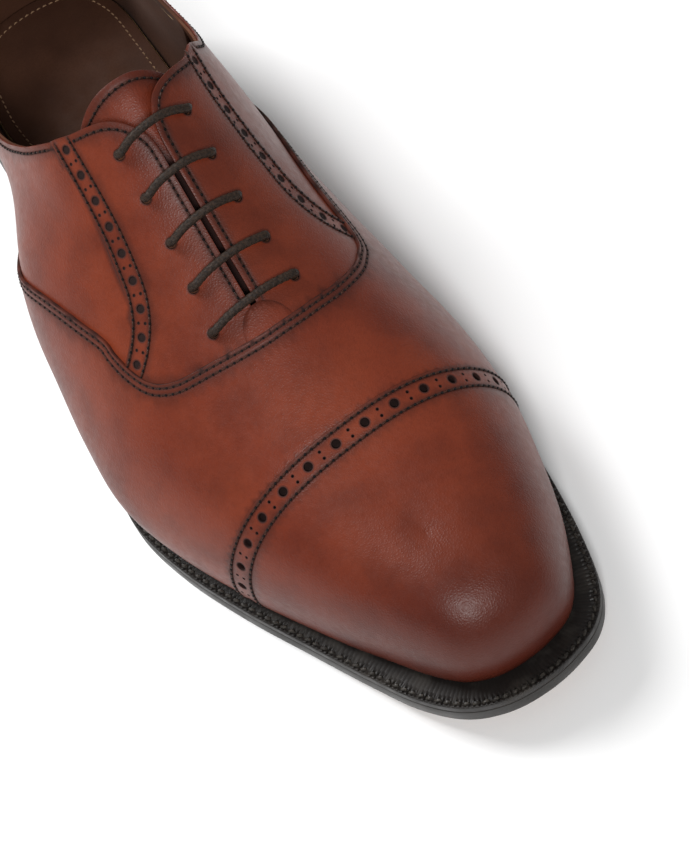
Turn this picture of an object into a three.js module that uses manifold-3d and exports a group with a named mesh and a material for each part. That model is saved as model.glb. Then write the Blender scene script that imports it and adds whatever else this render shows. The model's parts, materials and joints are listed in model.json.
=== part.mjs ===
// Leather cap-toe oxford shoe for a right foot, in millimetres.
//
// +Z is up, the toe points to -Y, the heel to +Y, and the inner (medial) side is +X.
// The sub-parts are worked out in the shoe's own axis frame, where x = 0 is the line through
// the lacing slit and the middle of the heel. The last group moves that frame across, so that
// the origin is on the ground under the middle of the whole shoe.
//
// The upper follows the last, the form that a shoe is made on. The last is a row of arched
// ribs from toe to heel. Each rib runs from the feather line (where the upper meets the welt)
// out to the widest line, then over the ridge and down the other side. Each layer of leather
// lies at its own depth below the outer face of the upper.

import * as THREE from 'three';
import { mergeVertices } from 'three/addons/utils/BufferGeometryUtils.js';
import ManifoldModule from 'manifold-3d';

const wasm = await ManifoldModule();
wasm.setup();

// ---------------------------------------------------------------- driving dimensions

const AXIS_X = 5.1;
const GAP = 0.3;
const TOE_Y = -149.5;
const HEEL_Y = 150;

// Bottom, from the ground up.
const OUTSOLE = 5.4;
const WELT = 3.3;
const SOLE_STACK = OUTSOLE + WELT + 2 * GAP;
const WELT_INNER = 4.0;
const INSOLE = 2.5;
const SOCK = 1.0;
const SHANK = { width: 15, from: 2, to: 92, thick: 1.1 };
const HEEL_BREAST_Y = 66;
const TOP_PIECE = 5.5;
const LIFT = 5.1;
const HEEL_TAPER = 0.6;

// Layers of the upper, as depths below its outer face: [outer, inner].
const LEATHER = [0, 1.5];
const STIFFENER = [1.8, 3.0];
const FRONT_LINING = [1.8, 2.8];
const DEEP_LINING = [3.3, 4.3];
const TONGUE = [7.9, 9.2];
const TONGUE_LINING = [9.5, 10.4];
const WALL = 4.6;

// Pattern lines.
const SWING = 0.115;
const CAP_Y = -66.6;
const SLIT_HALF = 1.0;
const TAB = { x: 0.5, y: -34.6, radius: 8 };
const BACK_STRIP_HALF = 8;
const BACK_STRIP_FROM = 100;
const VAMP_LINING_BACK = -34;
const HEEL_LINING_FRONT = 74;
const PUFF_BACK = -90;
const COUNTER_FRONT = 82;
const COUNTER_TOP = 72;
const TONGUE_HALF = 23;
const TONGUE_FRONT = -40;
const TONGUE_BACK = 43;

// Lacing.
const ROWS = 5;
const ROW_PITCH = 12.55;
const TOP_ROW_Y = 25.2;
const ROW_HALF = [12.0, 11.7, 11.9, 13.0, 14.7];
const HOLE_RADIUS = 1.75;
const EYELET = { inner: 2.0, outer: 3.3, depth: 3.75, thick: 0.5 };
const LACE_RADIUS = 1.2;
const LACE_SIDES = 8;
const LACE_OVER = 1.9;
const LACE_UNDER = 5.75;
const TURN = 1.8;
const TAIL_LENGTH = 205;
const AGLET = { length: 20, radius: 1.45 };

// Mesh fineness.
const RIBS = 28;
const ARCH = 8;
const LOOP = 1440;

// ---------------------------------------------------------------- shape of the last

// Edge of the outsole seen from above: toe, inner side, heel, outer side.
const OUTLINE = [
  [16, TOE_Y], [28, -147], [39, -141], [46, -130], [50, -111], [52, -87], [52.5, -62],
  [49.5, -37], [42.5, -12], [35, 12], [30.5, 36], [30, 60], [32.5, 84], [34, 108],
  [31, 130], [20, 145.5], [0, HEEL_Y], [-20, 145.5], [-31, 130], [-34, 108], [-34.5, 84],
  [-37.5, 60], [-45, 37], [-54, 14], [-61.5, -8], [-64, -30], [-58.5, -52], [-48.5, -74.5],
  [-37, -96], [-26.5, -116], [-17.5, -132], [-7.5, -143.3], [4, -148.7],
];

// Each profile gives a value along y, as [y, value] points.
const solePitch = profile([
  [-150, 10], [-125, 4], [-100, 0.8], [-74, 0], [-38, 0], [-5, 3.5], [25, 11.5], [52, 19],
  [75, 23], [110, 25.5], [150, 26.5],
]);
const soleBottom = (y) => Math.max(solePitch(y), 0);
const weltWidth = profile([
  [-150, 9.5], [-128, 9], [-105, 6.5], [-80, 5], [-50, 4.2], [-20, 3.2], [10, 2.2], [60, 1.8],
  [100, 2], [150, 2.4],
]);
const outerBulge = profile([
  [-150, 1.5], [-120, 1.5], [-80, 1.8], [-50, 2.5], [-20, 4], [10, 6.5], [45, 7], [80, 4.5],
  [110, 2.5], [150, 1.8],
]);
const innerBulge = profile([
  [-150, 1.5], [-125, 2], [-90, 4], [-60, 6], [-20, 7.5], [10, 8.5], [45, 7], [80, 4.5],
  [110, 2.5], [150, 1.8],
]);
const widestRise = profile([
  [-150, 7], [-110, 8], [-60, 10], [-20, 14], [20, 20], [60, 22], [110, 20], [150, 20],
]);
const ridgeHeight = profile([
  [-120, 48.5], [-105, 51], [-90, 54], [-70, 60], [-50, 67.5], [-33, 74.5], [-15, 83.5],
  [0, 92], [15, 102], [30, 112], [45, 121], [60, 129], [80, 136], [110, 140], [125, 140],
]);
const ridgeX = profile([[-120, 11], [-100, 8], [-60, 2], [-33, 0], [0, 0], [125, 0]]);
const archWide = profile([
  [-150, 2.7], [-110, 2.7], [-70, 2.3], [-35, 1.9], [0, 1.75], [30, 1.8], [60, 2.4], [90, 3.2],
  [125, 3.2],
]);
const archTall = profile([
  [-150, 2.3], [-110, 2.3], [-70, 2], [-35, 1.6], [0, 1.5], [30, 1.5], [60, 1.7], [90, 2],
  [125, 2],
]);
const RIDGE_TOE = -106;
const RIDGE_HEEL = 112;
const RIDGE_SOFT = 16;
const WIDEST_AT = 0.16;
const FEATHER_ANGLE = THREE.MathUtils.degToRad(40);

// Heights of the two cut lines seen from the side, as [y, z].
const topline = profile([
  [20, 117], [29, 111.5], [35, 109], [38, 106.5], [41.5, 103], [50, 96], [62, 86], [74, 79],
  [88, 77], [105, 80], [125, 88], [152, 98],
]);
const wingLine = profile([
  [-45, 50], [-20, 60], [-8, 63], [5, 65.5], [17, 66], [28, 63], [40, 57], [60, 47], [85, 38],
  [105, 31], [130, 27], [160, 26],
]);

// Smooth curve through points, level past both ends.
function profile(points) {
  const last = points.length - 1;
  const slope = points.map((p, i) => {
    const a = points[Math.max(i - 1, 0)];
    const b = points[Math.min(i + 1, last)];
    return (b[1] - a[1]) / (b[0] - a[0]);
  });
  return (at) => {
    const y = Math.min(Math.max(at, points[0][0]), points[last][0]);
    let i = 0;
    while (i < last - 1 && points[i + 1][0] < y) i += 1;
    const h = points[i + 1][0] - points[i][0];
    const t = (y - points[i][0]) / h;
    const rise = t * t * (3 - 2 * t);
    const lead = slope[i] * h * t * (1 - t) * (1 - t);
    const trail = slope[i + 1] * h * t * t * (t - 1);
    return points[i][1] * (1 - rise) + points[i + 1][1] * rise + lead + trail;
  };
}

const featherHeight = (y) => soleBottom(y) + SOLE_STACK;

// Along the ridge the ribs gather towards a pole at each end.
function softPlus(x) {
  return x > 30 ? x : Math.log1p(Math.exp(x));
}

function ridgeY(y) {
  const a = RIDGE_TOE + RIDGE_SOFT * softPlus((y - RIDGE_TOE) / RIDGE_SOFT);
  return RIDGE_HEEL - RIDGE_SOFT * softPlus((RIDGE_HEEL - a) / RIDGE_SOFT);
}

// The outline as evenly spaced samples with what each one needs: the edge, the outward
// direction, the feather point and the widest point.
function sampleOutline() {
  const corners = OUTLINE.map(([x, y]) => new THREE.Vector3(x, y, 0));
  const curve = new THREE.CatmullRomCurve3(corners, true, 'catmullrom', 0.5);
  curve.arcLengthDivisions = 3000;
  const edge = curve.getSpacedPoints(LOOP).slice(0, LOOP);
  return edge.map((p, i) => {
    const before = edge[(i + LOOP - 1) % LOOP];
    const after = edge[(i + 1) % LOOP];
    const along = after.clone().sub(before).normalize();
    const out = new THREE.Vector2(-along.y, along.x).negate();
    const feather = new THREE.Vector2(p.x, p.y).addScaledVector(out, -weltWidth(p.y));
    const side = 1 / (1 + Math.exp(-(p.x - ridgeX(ridgeY(p.y))) / 6));
    const bulge = outerBulge(p.y) * (1 - side) + innerBulge(p.y) * side;
    const widest = feather.clone().addScaledVector(out, bulge);
    return { edge: new THREE.Vector2(p.x, p.y), out, feather, widest };
  });
}

const samples = sampleOutline();

// Samples from the toe tip to the heel tip, along the inner side (+1) or the outer (-1).
function sideSamples(step) {
  const ys = samples.map((s) => s.widest.y);
  const toe = ys.indexOf(Math.min(...ys));
  const heel = ys.indexOf(Math.max(...ys));
  const list = [];
  for (let i = toe; i !== heel; i = (i + step + LOOP) % LOOP) list.push(samples[i]);
  list.push(samples[heel]);
  return list;
}

const innerSide = sideSamples(1);
const outerSide = sideSamples(-1);
const lastToeY = innerSide[0].widest.y;
const lastHeelY = innerSide[innerSide.length - 1].widest.y;

// The outline sample of one side whose widest point is at y.
function stationAt(side, y) {
  let low = 0;
  let high = side.length - 1;
  while (high - low > 1) {
    const mid = (low + high) >> 1;
    if (side[mid].widest.y <= y) low = mid;
    else high = mid;
  }
  const a = side[low];
  const b = side[high];
  const span = b.widest.y - a.widest.y;
  const t = span > 1e-9 ? THREE.MathUtils.clamp((y - a.widest.y) / span, 0, 1) : 0;
  return {
    out: a.out.clone().lerp(b.out, t).normalize(),
    feather: a.feather.clone().lerp(b.feather, t),
    widest: a.widest.clone().lerp(b.widest, t),
  };
}

// A point of the last: up is 0 at the feather line and 1 on the ridge.
function lastPoint(station, up, depth) {
  const { out, feather, widest } = station;
  const low = feather.clone().addScaledVector(out, -depth);
  const wide = widest.clone().addScaledVector(out, -depth);
  const base = featherHeight(feather.y);
  const widestZ = base + widestRise(widest.y);
  const ridge = ridgeY(widest.y);
  const p = archWide(wide.y);
  const q = archTall(wide.y);
  if (up <= WIDEST_AT) {
    const angle = THREE.MathUtils.lerp(FEATHER_ANGLE, Math.PI / 2, up / WIDEST_AT);
    const across = (Math.sin(angle) - Math.sin(FEATHER_ANGLE)) / (1 - Math.sin(FEATHER_ANGLE));
    const rise = 1 - Math.cos(angle) / Math.cos(FEATHER_ANGLE);
    const at = low.lerp(wide, across);
    return new THREE.Vector3(at.x, at.y, base + (widestZ - base) * rise);
  }
  const angle = ((up - WIDEST_AT) / (1 - WIDEST_AT)) * (Math.PI / 2);
  const out01 = Math.max(Math.cos(angle), 0) ** (2 / p);
  const top = ridgeHeight(ridge) - depth;
  const at = new THREE.Vector2(ridgeX(ridge), ridge).lerp(wide, out01);
  const z = widestZ + (top - widestZ) * Math.max(Math.sin(angle), 0) ** (2 / q);
  return new THREE.Vector3(at.x, at.y, z);
}

// Height of the last over a place seen from above, in the middle stretch of the shoe.
function heightAt(x, y, depth) {
  const station = stationAt(x < 0 ? outerSide : innerSide, y);
  const wide = station.widest.clone().addScaledVector(station.out, -depth);
  const widestZ = featherHeight(station.feather.y) + widestRise(station.widest.y);
  const ridge = ridgeY(station.widest.y);
  const middle = ridgeX(ridge);
  const part = Math.min(Math.abs((x - middle) / (wide.x - middle)), 1);
  const high = ridgeHeight(ridge) - depth - widestZ;
  return widestZ + high * (1 - part ** archWide(wide.y)) ** (1 / archTall(wide.y));
}

// ---------------------------------------------------------------- solids

function geometryOf(positions, faces) {
  const geometry = new THREE.BufferGeometry();
  geometry.setAttribute('position', new THREE.Float32BufferAttribute(positions, 3));
  geometry.setIndex(faces);
  return geometry;
}

// Merged, with collapsed faces dropped and the faces pointing out.
function solidGeometry(source) {
  const bare = source.clone();
  bare.deleteAttribute('normal');
  bare.deleteAttribute('uv');
  const merged = mergeVertices(bare, 1e-4);
  const index = Array.from(merged.index.array);
  const at = merged.attributes.position;
  const a = new THREE.Vector3();
  const b = new THREE.Vector3();
  const c = new THREE.Vector3();
  const kept = [];
  let volume = 0;
  for (let i = 0; i < index.length; i += 3) {
    const [p, q, r] = index.slice(i, i + 3);
    if (p === q || q === r || p === r) continue;
    kept.push(p, q, r);
    a.fromBufferAttribute(at, p);
    b.fromBufferAttribute(at, q);
    c.fromBufferAttribute(at, r);
    volume += a.dot(b.cross(c));
  }
  if (volume < 0) kept.reverse();
  merged.setIndex(kept);
  return merged;
}

function toManifold(source) {
  const geometry = solidGeometry(source);
  return new wasm.Manifold(new wasm.Mesh({
    numProp: 3,
    vertProperties: new Float32Array(geometry.attributes.position.array),
    triVerts: new Uint32Array(geometry.index.array),
  }));
}

function fromManifold(solid) {
  const mesh = solid.getMesh();
  return geometryOf(Array.from(mesh.vertProperties), Array.from(mesh.triVerts));
}

// Closed loft through loops of points that all have the same count.
function loft(loops, closedEnds) {
  const size = loops[0].length;
  const positions = loops.flat().flatMap((p) => [p.x, p.y, p.z]);
  const faces = [];
  for (let i = 0; i < loops.length - 1; i += 1) {
    for (let j = 0; j < size; j += 1) {
      const a = i * size + j;
      const b = i * size + ((j + 1) % size);
      faces.push(a, b, b + size, a, b + size, a + size);
    }
  }
  if (closedEnds) {
    const end = (loops.length - 1) * size;
    for (let j = 1; j < size - 1; j += 1) {
      faces.push(0, j + 1, j, end, end + j, end + j + 1);
    }
  }
  return geometryOf(positions, faces);
}

// The whole last at a depth, closed underneath, with its foot carried down by drop.
function lastSolid(depth, drop) {
  const loops = [];
  for (let k = 0; k <= RIBS; k += 1) {
    const along = (1 - Math.cos((Math.PI * k) / RIBS)) / 2;
    const y = THREE.MathUtils.lerp(lastToeY, lastHeelY, along);
    const outer = stationAt(outerSide, y);
    const inner = stationAt(innerSide, y);
    const rib = [];
    for (let j = 0; j <= ARCH; j += 1) rib.push(lastPoint(outer, archStep(j), depth));
    for (let j = ARCH - 1; j >= 0; j -= 1) rib.push(lastPoint(inner, archStep(j), depth));
    if (drop > 0) {
      const first = rib[0].clone();
      const final = rib[rib.length - 1].clone();
      first.z -= drop;
      final.z -= drop;
      rib.unshift(first);
      rib.push(final);
    }
    loops.push(rib);
  }
  return toManifold(loft(loops, false));
}

// Two steps below the widest line, the rest over the arch.
function archStep(j) {
  if (j <= 2) return (WIDEST_AT * j) / 2;
  return WIDEST_AT + ((1 - WIDEST_AT) * (j - 2)) / (ARCH - 2);
}

// A layer of the upper between two depths.
function layer([outer, inner]) {
  return lastSolid(outer, 0).subtract(lastSolid(inner, 8));
}

function prismUp(points, low, high) {
  const shape = new THREE.Shape(points.map(([x, y]) => new THREE.Vector2(x, y)));
  const geometry = new THREE.ExtrudeGeometry(shape, { depth: high - low, bevelEnabled: false });
  geometry.translate(0, 0, low);
  return toManifold(geometry);
}

// An outline in y and z, carried across the whole shoe.
function prismAcross(points) {
  const shape = new THREE.Shape(points.map(([y, z]) => new THREE.Vector2(y, z)));
  const geometry = new THREE.ExtrudeGeometry(shape, { depth: 180, bevelEnabled: false });
  const turn = new THREE.Matrix4().makeBasis(
    new THREE.Vector3(0, 1, 0),
    new THREE.Vector3(0, 0, 1),
    new THREE.Vector3(1, 0, 0),
  );
  geometry.applyMatrix4(turn);
  geometry.translate(-90, 0, 0);
  return toManifold(geometry);
}

const boxCut = (x0, x1, y0, y1, z0, z1) => prismUp([[x0, y0], [x1, y0], [x1, y1], [x0, y1]], z0, z1);
const acrossCut = (y0, y1) => boxCut(-90, 90, y0, y1, -30, 170);

// A closed outline moved outwards by distance.
function grow(points, distance) {
  const turns = THREE.ShapeUtils.area(points.map(([x, y]) => new THREE.Vector2(x, y)));
  const sign = Math.sign(turns);
  return points.map(([x, y], i) => {
    const before = points[(i + points.length - 1) % points.length];
    const after = points[(i + 1) % points.length];
    const a = new THREE.Vector2(x - before[0], y - before[1]).normalize();
    const b = new THREE.Vector2(after[0] - x, after[1] - y).normalize();
    const normal = new THREE.Vector2(a.y + b.y, -a.x - b.x).normalize();
    const miter = Math.max(normal.x * a.y - normal.y * a.x, 0.5);
    return [x + (sign * normal.x * distance) / miter, y + (sign * normal.y * distance) / miter];
  });
}

function smooth(points, count) {
  const curve = new THREE.SplineCurve(points.map(([x, y]) => new THREE.Vector2(x, y)));
  return curve.getPoints(count).map((p) => [p.x, p.y]);
}

function disc(x, y, radius, sides) {
  const turn = (i) => (2 * Math.PI * i) / sides;
  return Array.from({ length: sides }, (_, i) => [
    x + radius * Math.cos(turn(i)),
    y + radius * Math.sin(turn(i)),
  ]);
}

// Everything above or below a line seen from the side.
function sideRegion(line, lift, above) {
  const ys = [];
  for (let y = -170; y <= 170; y += 8) ys.push(y);
  const far = above ? 190 : -60;
  const edge = ys.map((y) => [y, line(y) + lift]);
  return prismAcross([...edge, [170, far], [-170, far]]);
}

// ---------------------------------------------------------------- pattern of the upper

// Front edge of the quarters, where the vamp is stitched over them, seen from above.
const throatLine = smooth([
  [-46, 1], [-43, -8], [-41, -16], [-37, -24], [-29.5, -29.9], [-19.5, -32.8], [-9, -34.4],
  [0, -34.6], [7, -33.8], [14, -32.4], [23, -29.4], [31, -24], [35.5, -17], [37.5, -9], [41, 0],
], 28);
const quarterPlan = [...throatLine, [80, 8], [80, 170], [-80, 170], [-80, 8]];

// Outer edge of each facing, a long swan-neck seen from above.
const outerFacing = [
  [-SLIT_HALF, -45], [-SLIT_HALF, 70], [-27.5, 70],
  ...smooth([
    [-27.5, 37], [-27.6, 28], [-27.9, 20], [-28.5, 12], [-29.5, 5], [-31, -2.5], [-33.5, -7.5],
    [-37.5, -11], [-42, -13.5],
  ], 12),
  [-56, -17], [-56, -45],
];
const innerFacing = [
  [SLIT_HALF, -45], [56, -45], [56, -4],
  ...smooth([
    [39, -4], [34.5, -1.5], [31.5, 2.5], [29.3, 8], [28, 14.5], [26.7, 21], [25.7, 28],
    [24.8, 35], [24.5, 42],
  ], 12),
  [24.5, 70], [SLIT_HALF, 70],
];

// The part of the upper that belongs to the quarters.
function quarterRegion(clear) {
  return prismUp(grow(quarterPlan, -clear), -30, 170).intersect(sideRegion(wingLine, clear, true));
}

const half = GAP / 2;
const heelHalf = BACK_STRIP_HALF + half;

function makeUpper() {
  const leather = layer(LEATHER);
  const capEdge = (shift) => [
    [-90, CAP_Y - 90 * SWING + shift],
    [90, CAP_Y + 90 * SWING + shift],
  ];
  const toeSide = prismUp([...capEdge(-half), [90, -200], [-90, -200]], -30, 170);
  const backSide = prismUp([...capEdge(half), [90, 200], [-90, 200]], -30, 170);
  const underTopline = sideRegion(topline, 0, false);
  const quarters = leather.intersect(quarterRegion(half)).intersect(underTopline);
  const tab = prismUp(disc(TAB.x, TAB.y, TAB.radius, 20), 0, 170);
  const roundTab = prismUp(disc(TAB.x, TAB.y, TAB.radius + GAP, 20), 0, 170);
  const facingCut = (plan) => prismUp(grow(plan, -half), 0, 170);
  const facingHole = prismUp(grow(outerFacing, half), 0, 170)
    .add(prismUp(grow(innerFacing, half), 0, 170))
    .add(boxCut(-2, 2, -60, 70, 0, 170));
  const strip = boxCut(-BACK_STRIP_HALF, BACK_STRIP_HALF, BACK_STRIP_FROM, 170, -30, 170);
  const roundStrip = boxCut(-heelHalf, heelHalf, BACK_STRIP_FROM - GAP, 170, -30, 170);
  const plain = quarters.subtract(facingHole).subtract(roundStrip);
  const holes = lacingHoles();
  return {
    toe_cap: leather.intersect(toeSide),
    vamp: leather.intersect(backSide).subtract(quarterRegion(-half)).subtract(roundStrip),
    facing_outer: quarters.intersect(facingCut(outerFacing)).subtract(roundTab).subtract(holes),
    facing_inner: quarters.intersect(facingCut(innerFacing)).subtract(roundTab).subtract(holes),
    throat_tab: quarters.intersect(tab),
    quarter_outer: plain.intersect(boxCut(-90, 0, -60, 170, -30, 170)),
    quarter_inner: plain.intersect(boxCut(0, 90, -60, 170, -30, 170)),
    back_strip: leather.intersect(strip).intersect(underTopline),
  };
}

function makeLinings() {
  const under = sideRegion(topline, 0, false);
  const deep = layer(DEEP_LINING);
  const front = layer(FRONT_LINING);
  const stiff = layer(STIFFENER);
  const slit = boxCut(-SLIT_HALF, SLIT_HALF, -60, 90, 0, 170);
  const middle = front.intersect(acrossCut(VAMP_LINING_BACK + GAP, HEEL_LINING_FRONT))
    .intersect(under).subtract(slit).subtract(lacingHoles());
  const counter = stiff.intersect(acrossCut(COUNTER_FRONT, 170));
  return {
    vamp_lining: deep.intersect(acrossCut(-170, VAMP_LINING_BACK)),
    lining_outer: middle.intersect(boxCut(-90, 0, -60, 170, -30, 170)),
    lining_inner: middle.intersect(boxCut(0, 90, -60, 170, -30, 170)),
    heel_lining: deep.intersect(acrossCut(HEEL_LINING_FRONT + GAP, 170)).intersect(under),
    toe_puff: stiff.intersect(acrossCut(-170, PUFF_BACK)),
    heel_counter: counter.intersect(boxCut(-90, 90, 60, 170, -30, COUNTER_TOP)),
  };
}

// The tongue hangs from its front edge and widens a little towards its rounded top.
function tongueOutline(inset) {
  const w = TONGUE_HALF - inset;
  const front = TONGUE_FRONT + inset;
  const back = TONGUE_BACK - inset;
  return smooth([
    [0, front], [w - 9, front + 1], [w - 5, front + 8], [w - 2, -5], [w, 22], [w - 1, 36],
    [w - 9, back - 1], [0, back], [9 - w, back - 1], [1 - w, 36], [-w, 22], [2 - w, -5],
    [5 - w, front + 8], [9 - w, front + 1], [0, front],
  ], 40).slice(0, 40);
}

function makeTongue() {
  return {
    tongue: layer(TONGUE).intersect(prismUp(tongueOutline(0), 50, 170)),
    tongue_lining: layer(TONGUE_LINING).intersect(prismUp(tongueOutline(1.5), 50, 170)),
  };
}

// ---------------------------------------------------------------- bottom

// Both edges, at y, of the outline moved in by an inset of its own.
function edgesAt(inset, y) {
  const moved = samples.map((s) => s.edge.clone().addScaledVector(s.out, -inset(s)));
  const hits = [];
  moved.forEach((a, i) => {
    const b = moved[(i + 1) % LOOP];
    if ((a.y - y) * (b.y - y) <= 0 && a.y !== b.y) {
      hits.push(THREE.MathUtils.lerp(a.x, b.x, (y - a.y) / (b.y - a.y)));
    }
  });
  return [Math.min(...hits), Math.max(...hits)];
}

// A flat-across plate between two heights that follow y.
function plate({ inset, from, to, low, high, steps = 30 }) {
  const ys = samples.map((s) => s.edge.y - s.out.y * inset(s));
  const start = Math.max(from, Math.min(...ys) + 0.12);
  const end = Math.min(to, Math.max(...ys) - 0.12);
  const ease = (t) => {
    if (from > -140) return to < 140 ? t : Math.sin((t * Math.PI) / 2);
    return to < 140 ? 1 - Math.cos((t * Math.PI) / 2) : (1 - Math.cos(t * Math.PI)) / 2;
  };
  const loops = [];
  for (let i = 0; i <= steps; i += 1) {
    const y = THREE.MathUtils.lerp(start, end, ease(i / steps));
    const [left, right] = edgesAt(inset, y);
    loops.push([
      new THREE.Vector3(left, y, low(y)),
      new THREE.Vector3(right, y, low(y)),
      new THREE.Vector3(right, y, high(y)),
      new THREE.Vector3(left, y, high(y)),
    ]);
  }
  return loft(loops, true);
}

// A strip of the sole's edge that runs round the toe, or round the heel.
function edgeStrip(aroundToe, cutY, steps) {
  const order = [...innerSide].reverse().concat(outerSide.slice(1));
  const heelOrder = [...innerSide].concat([...outerSide].reverse().slice(1));
  const list = (aroundToe ? order : heelOrder).filter((s) => {
    return aroundToe ? s.edge.y < cutY : s.edge.y > cutY;
  });
  const low = SOLE_STACK - WELT - GAP;
  const high = SOLE_STACK - GAP;
  const loops = [];
  for (let i = 0; i <= steps; i += 1) {
    const s = list[Math.round((i / steps) * (list.length - 1))];
    const deep = s.feather.clone().addScaledVector(s.out, -WELT_INNER);
    const foot = (p, z) => new THREE.Vector3(p.x, p.y, soleBottom(p.y) + z);
    loops.push([foot(s.edge, low), foot(deep, low), foot(deep, high), foot(s.edge, high)]);
  }
  return loft(loops, true);
}

const featherInset = (extra) => (s) => s.edge.distanceTo(s.feather) + extra;
const above = (z) => (y) => soleBottom(y) + z;
const level = (z) => () => z;

function makeBottom() {
  const weltTop = SOLE_STACK - GAP;
  const weltLow = OUTSOLE + GAP;
  const shankAt = (grown) => plate({
    inset: () => 0,
    from: SHANK.from - grown,
    to: SHANK.to + grown,
    low: above(weltTop - SHANK.thick - grown),
    high: above(weltTop + grown),
    steps: 12,
  });
  const narrow = (grown) => boxCut(
    -SHANK.width / 2 - grown, SHANK.width / 2 + grown, SHANK.from - 5, SHANK.to + 5, -10, 60,
  );
  const filler = toManifold(plate({
    inset: featherInset(WELT_INNER + 3 * GAP),
    from: -170,
    to: 170,
    low: above(weltLow),
    high: above(weltTop),
  })).subtract(toManifold(shankAt(GAP)).intersect(narrow(GAP)));
  const inside = (extra, low, high) => plate({
    inset: featherInset(WALL + extra), from: -170, to: 170, low: above(low), high: above(high),
  });
  const sockLow = SOLE_STACK + INSOLE + GAP;
  return {
    outsole: plate({
      inset: level(0), from: -170, to: 170, low: above(0), high: above(OUTSOLE), steps: 36,
    }),
    welt: edgeStrip(true, HEEL_BREAST_Y, 60),
    heel_rand: edgeStrip(false, HEEL_BREAST_Y + GAP, 26),
    cork_filler: fromManifold(filler),
    shank: fromManifold(toManifold(shankAt(0)).intersect(narrow(0))),
    insole: inside(0, SOLE_STACK, SOLE_STACK + INSOLE),
    sock: inside(0.4, sockLow, sockLow + SOCK),
  };
}

// Heel: a rubber top piece on the ground, level lifts and a wedge under the sloping sole.
function makeHeel() {
  const slab = (low, high, taper) => plate({
    inset: level(taper), from: HEEL_BREAST_Y + taper, to: 170, low, high, steps: 16,
  });
  const first = TOP_PIECE + GAP;
  const second = first + LIFT + GAP;
  const wedge = second + LIFT + GAP;
  return {
    heel_top_piece: slab(level(0), level(TOP_PIECE), HEEL_TAPER * 3),
    heel_lift_1: slab(level(first), level(first + LIFT), HEEL_TAPER * 2),
    heel_lift_2: slab(level(second), level(second + LIFT), HEEL_TAPER),
    heel_wedge: slab(level(wedge), above(-GAP), 0),
  };
}

// ---------------------------------------------------------------- lacing

// Place and outward direction on the upper's outer face, seen from above at x and y.
function faceAt(x, y) {
  const step = 0.4;
  const z = heightAt(x, y, 0);
  const dx = heightAt(x + step, y, 0) - heightAt(x - step, y, 0);
  const dy = heightAt(x, y + step, 0) - heightAt(x, y - step, 0);
  const normal = new THREE.Vector3(-dx / (2 * step), -dy / (2 * step), 1).normalize();
  return { point: new THREE.Vector3(x, y, z), normal };
}

// How far along the normal one unit of layer depth is.
function depthScale(face) {
  const reach = 5;
  let travel = reach;
  for (let i = 0; i < 6; i += 1) {
    const at = face.point.clone().addScaledVector(face.normal, -travel);
    travel += (at.z - heightAt(at.x, at.y, reach)) * face.normal.z;
  }
  return travel / reach;
}

function below(x, y, depth) {
  const face = faceAt(x, y);
  const scale = depth > 0 ? depthScale(face) : 1;
  return face.point.clone().addScaledVector(face.normal, -depth * scale);
}

// Lacing hole of a row, counted from the top; side is -1 outer, +1 inner.
function holePlace(row, side) {
  const x = side * ROW_HALF[row];
  return [x, TOP_ROW_Y - row * ROW_PITCH + SWING * x];
}

function lookAlong(direction) {
  return new THREE.Quaternion().setFromUnitVectors(new THREE.Vector3(0, 0, 1), direction);
}

function lacingHoles() {
  let all = null;
  for (let row = 0; row < ROWS; row += 1) {
    for (const side of [-1, 1]) {
      const face = faceAt(...holePlace(row, side));
      const punch = new THREE.CylinderGeometry(HOLE_RADIUS, HOLE_RADIUS, 12, 12);
      punch.rotateX(Math.PI / 2);
      punch.applyQuaternion(lookAlong(face.normal));
      punch.translate(face.point.x, face.point.y, face.point.z);
      const solid = toManifold(punch);
      all = all ? all.add(solid) : solid;
    }
  }
  return all;
}

// Blind eyelet: a flat metal ring on the inside of the lining.
function eyeletGeometry(row, side) {
  const face = faceAt(...holePlace(row, side));
  const scale = depthScale(face);
  const high = -EYELET.depth * scale;
  const low = high - EYELET.thick;
  const ring = new THREE.LatheGeometry([
    new THREE.Vector2(EYELET.inner, low), new THREE.Vector2(EYELET.outer, low),
    new THREE.Vector2(EYELET.outer, high), new THREE.Vector2(EYELET.inner, high),
    new THREE.Vector2(EYELET.inner, low),
  ], 12);
  ring.rotateX(Math.PI / 2);
  ring.applyQuaternion(lookAlong(face.normal));
  ring.translate(face.point.x, face.point.y, face.point.z);
  return ring;
}

// A route whose own points are the steps of the sweep.
class Route extends THREE.Curve {
  constructor(points) {
    super();
    this.points = points;
  }

  getPoint(t) {
    return this.points[Math.round(t * (this.points.length - 1))].clone();
  }

  getPointAt(u) {
    return this.getPoint(u);
  }

  getTangentAt(u) {
    const i = Math.round(u * (this.points.length - 1));
    const before = this.points[Math.max(i - 1, 0)];
    const after = this.points[Math.min(i + 1, this.points.length - 1)];
    return after.clone().sub(before).normalize();
  }
}

function tube(points, radius, sides) {
  const section = new THREE.Shape();
  disc(0, 0, radius, sides).forEach(([x, y], i) => {
    if (i === 0) section.moveTo(x, y);
    else section.lineTo(x, y);
  });
  return new THREE.ExtrudeGeometry(section, {
    extrudePath: new Route(points), steps: points.length - 1, bevelEnabled: false,
  });
}

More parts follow.
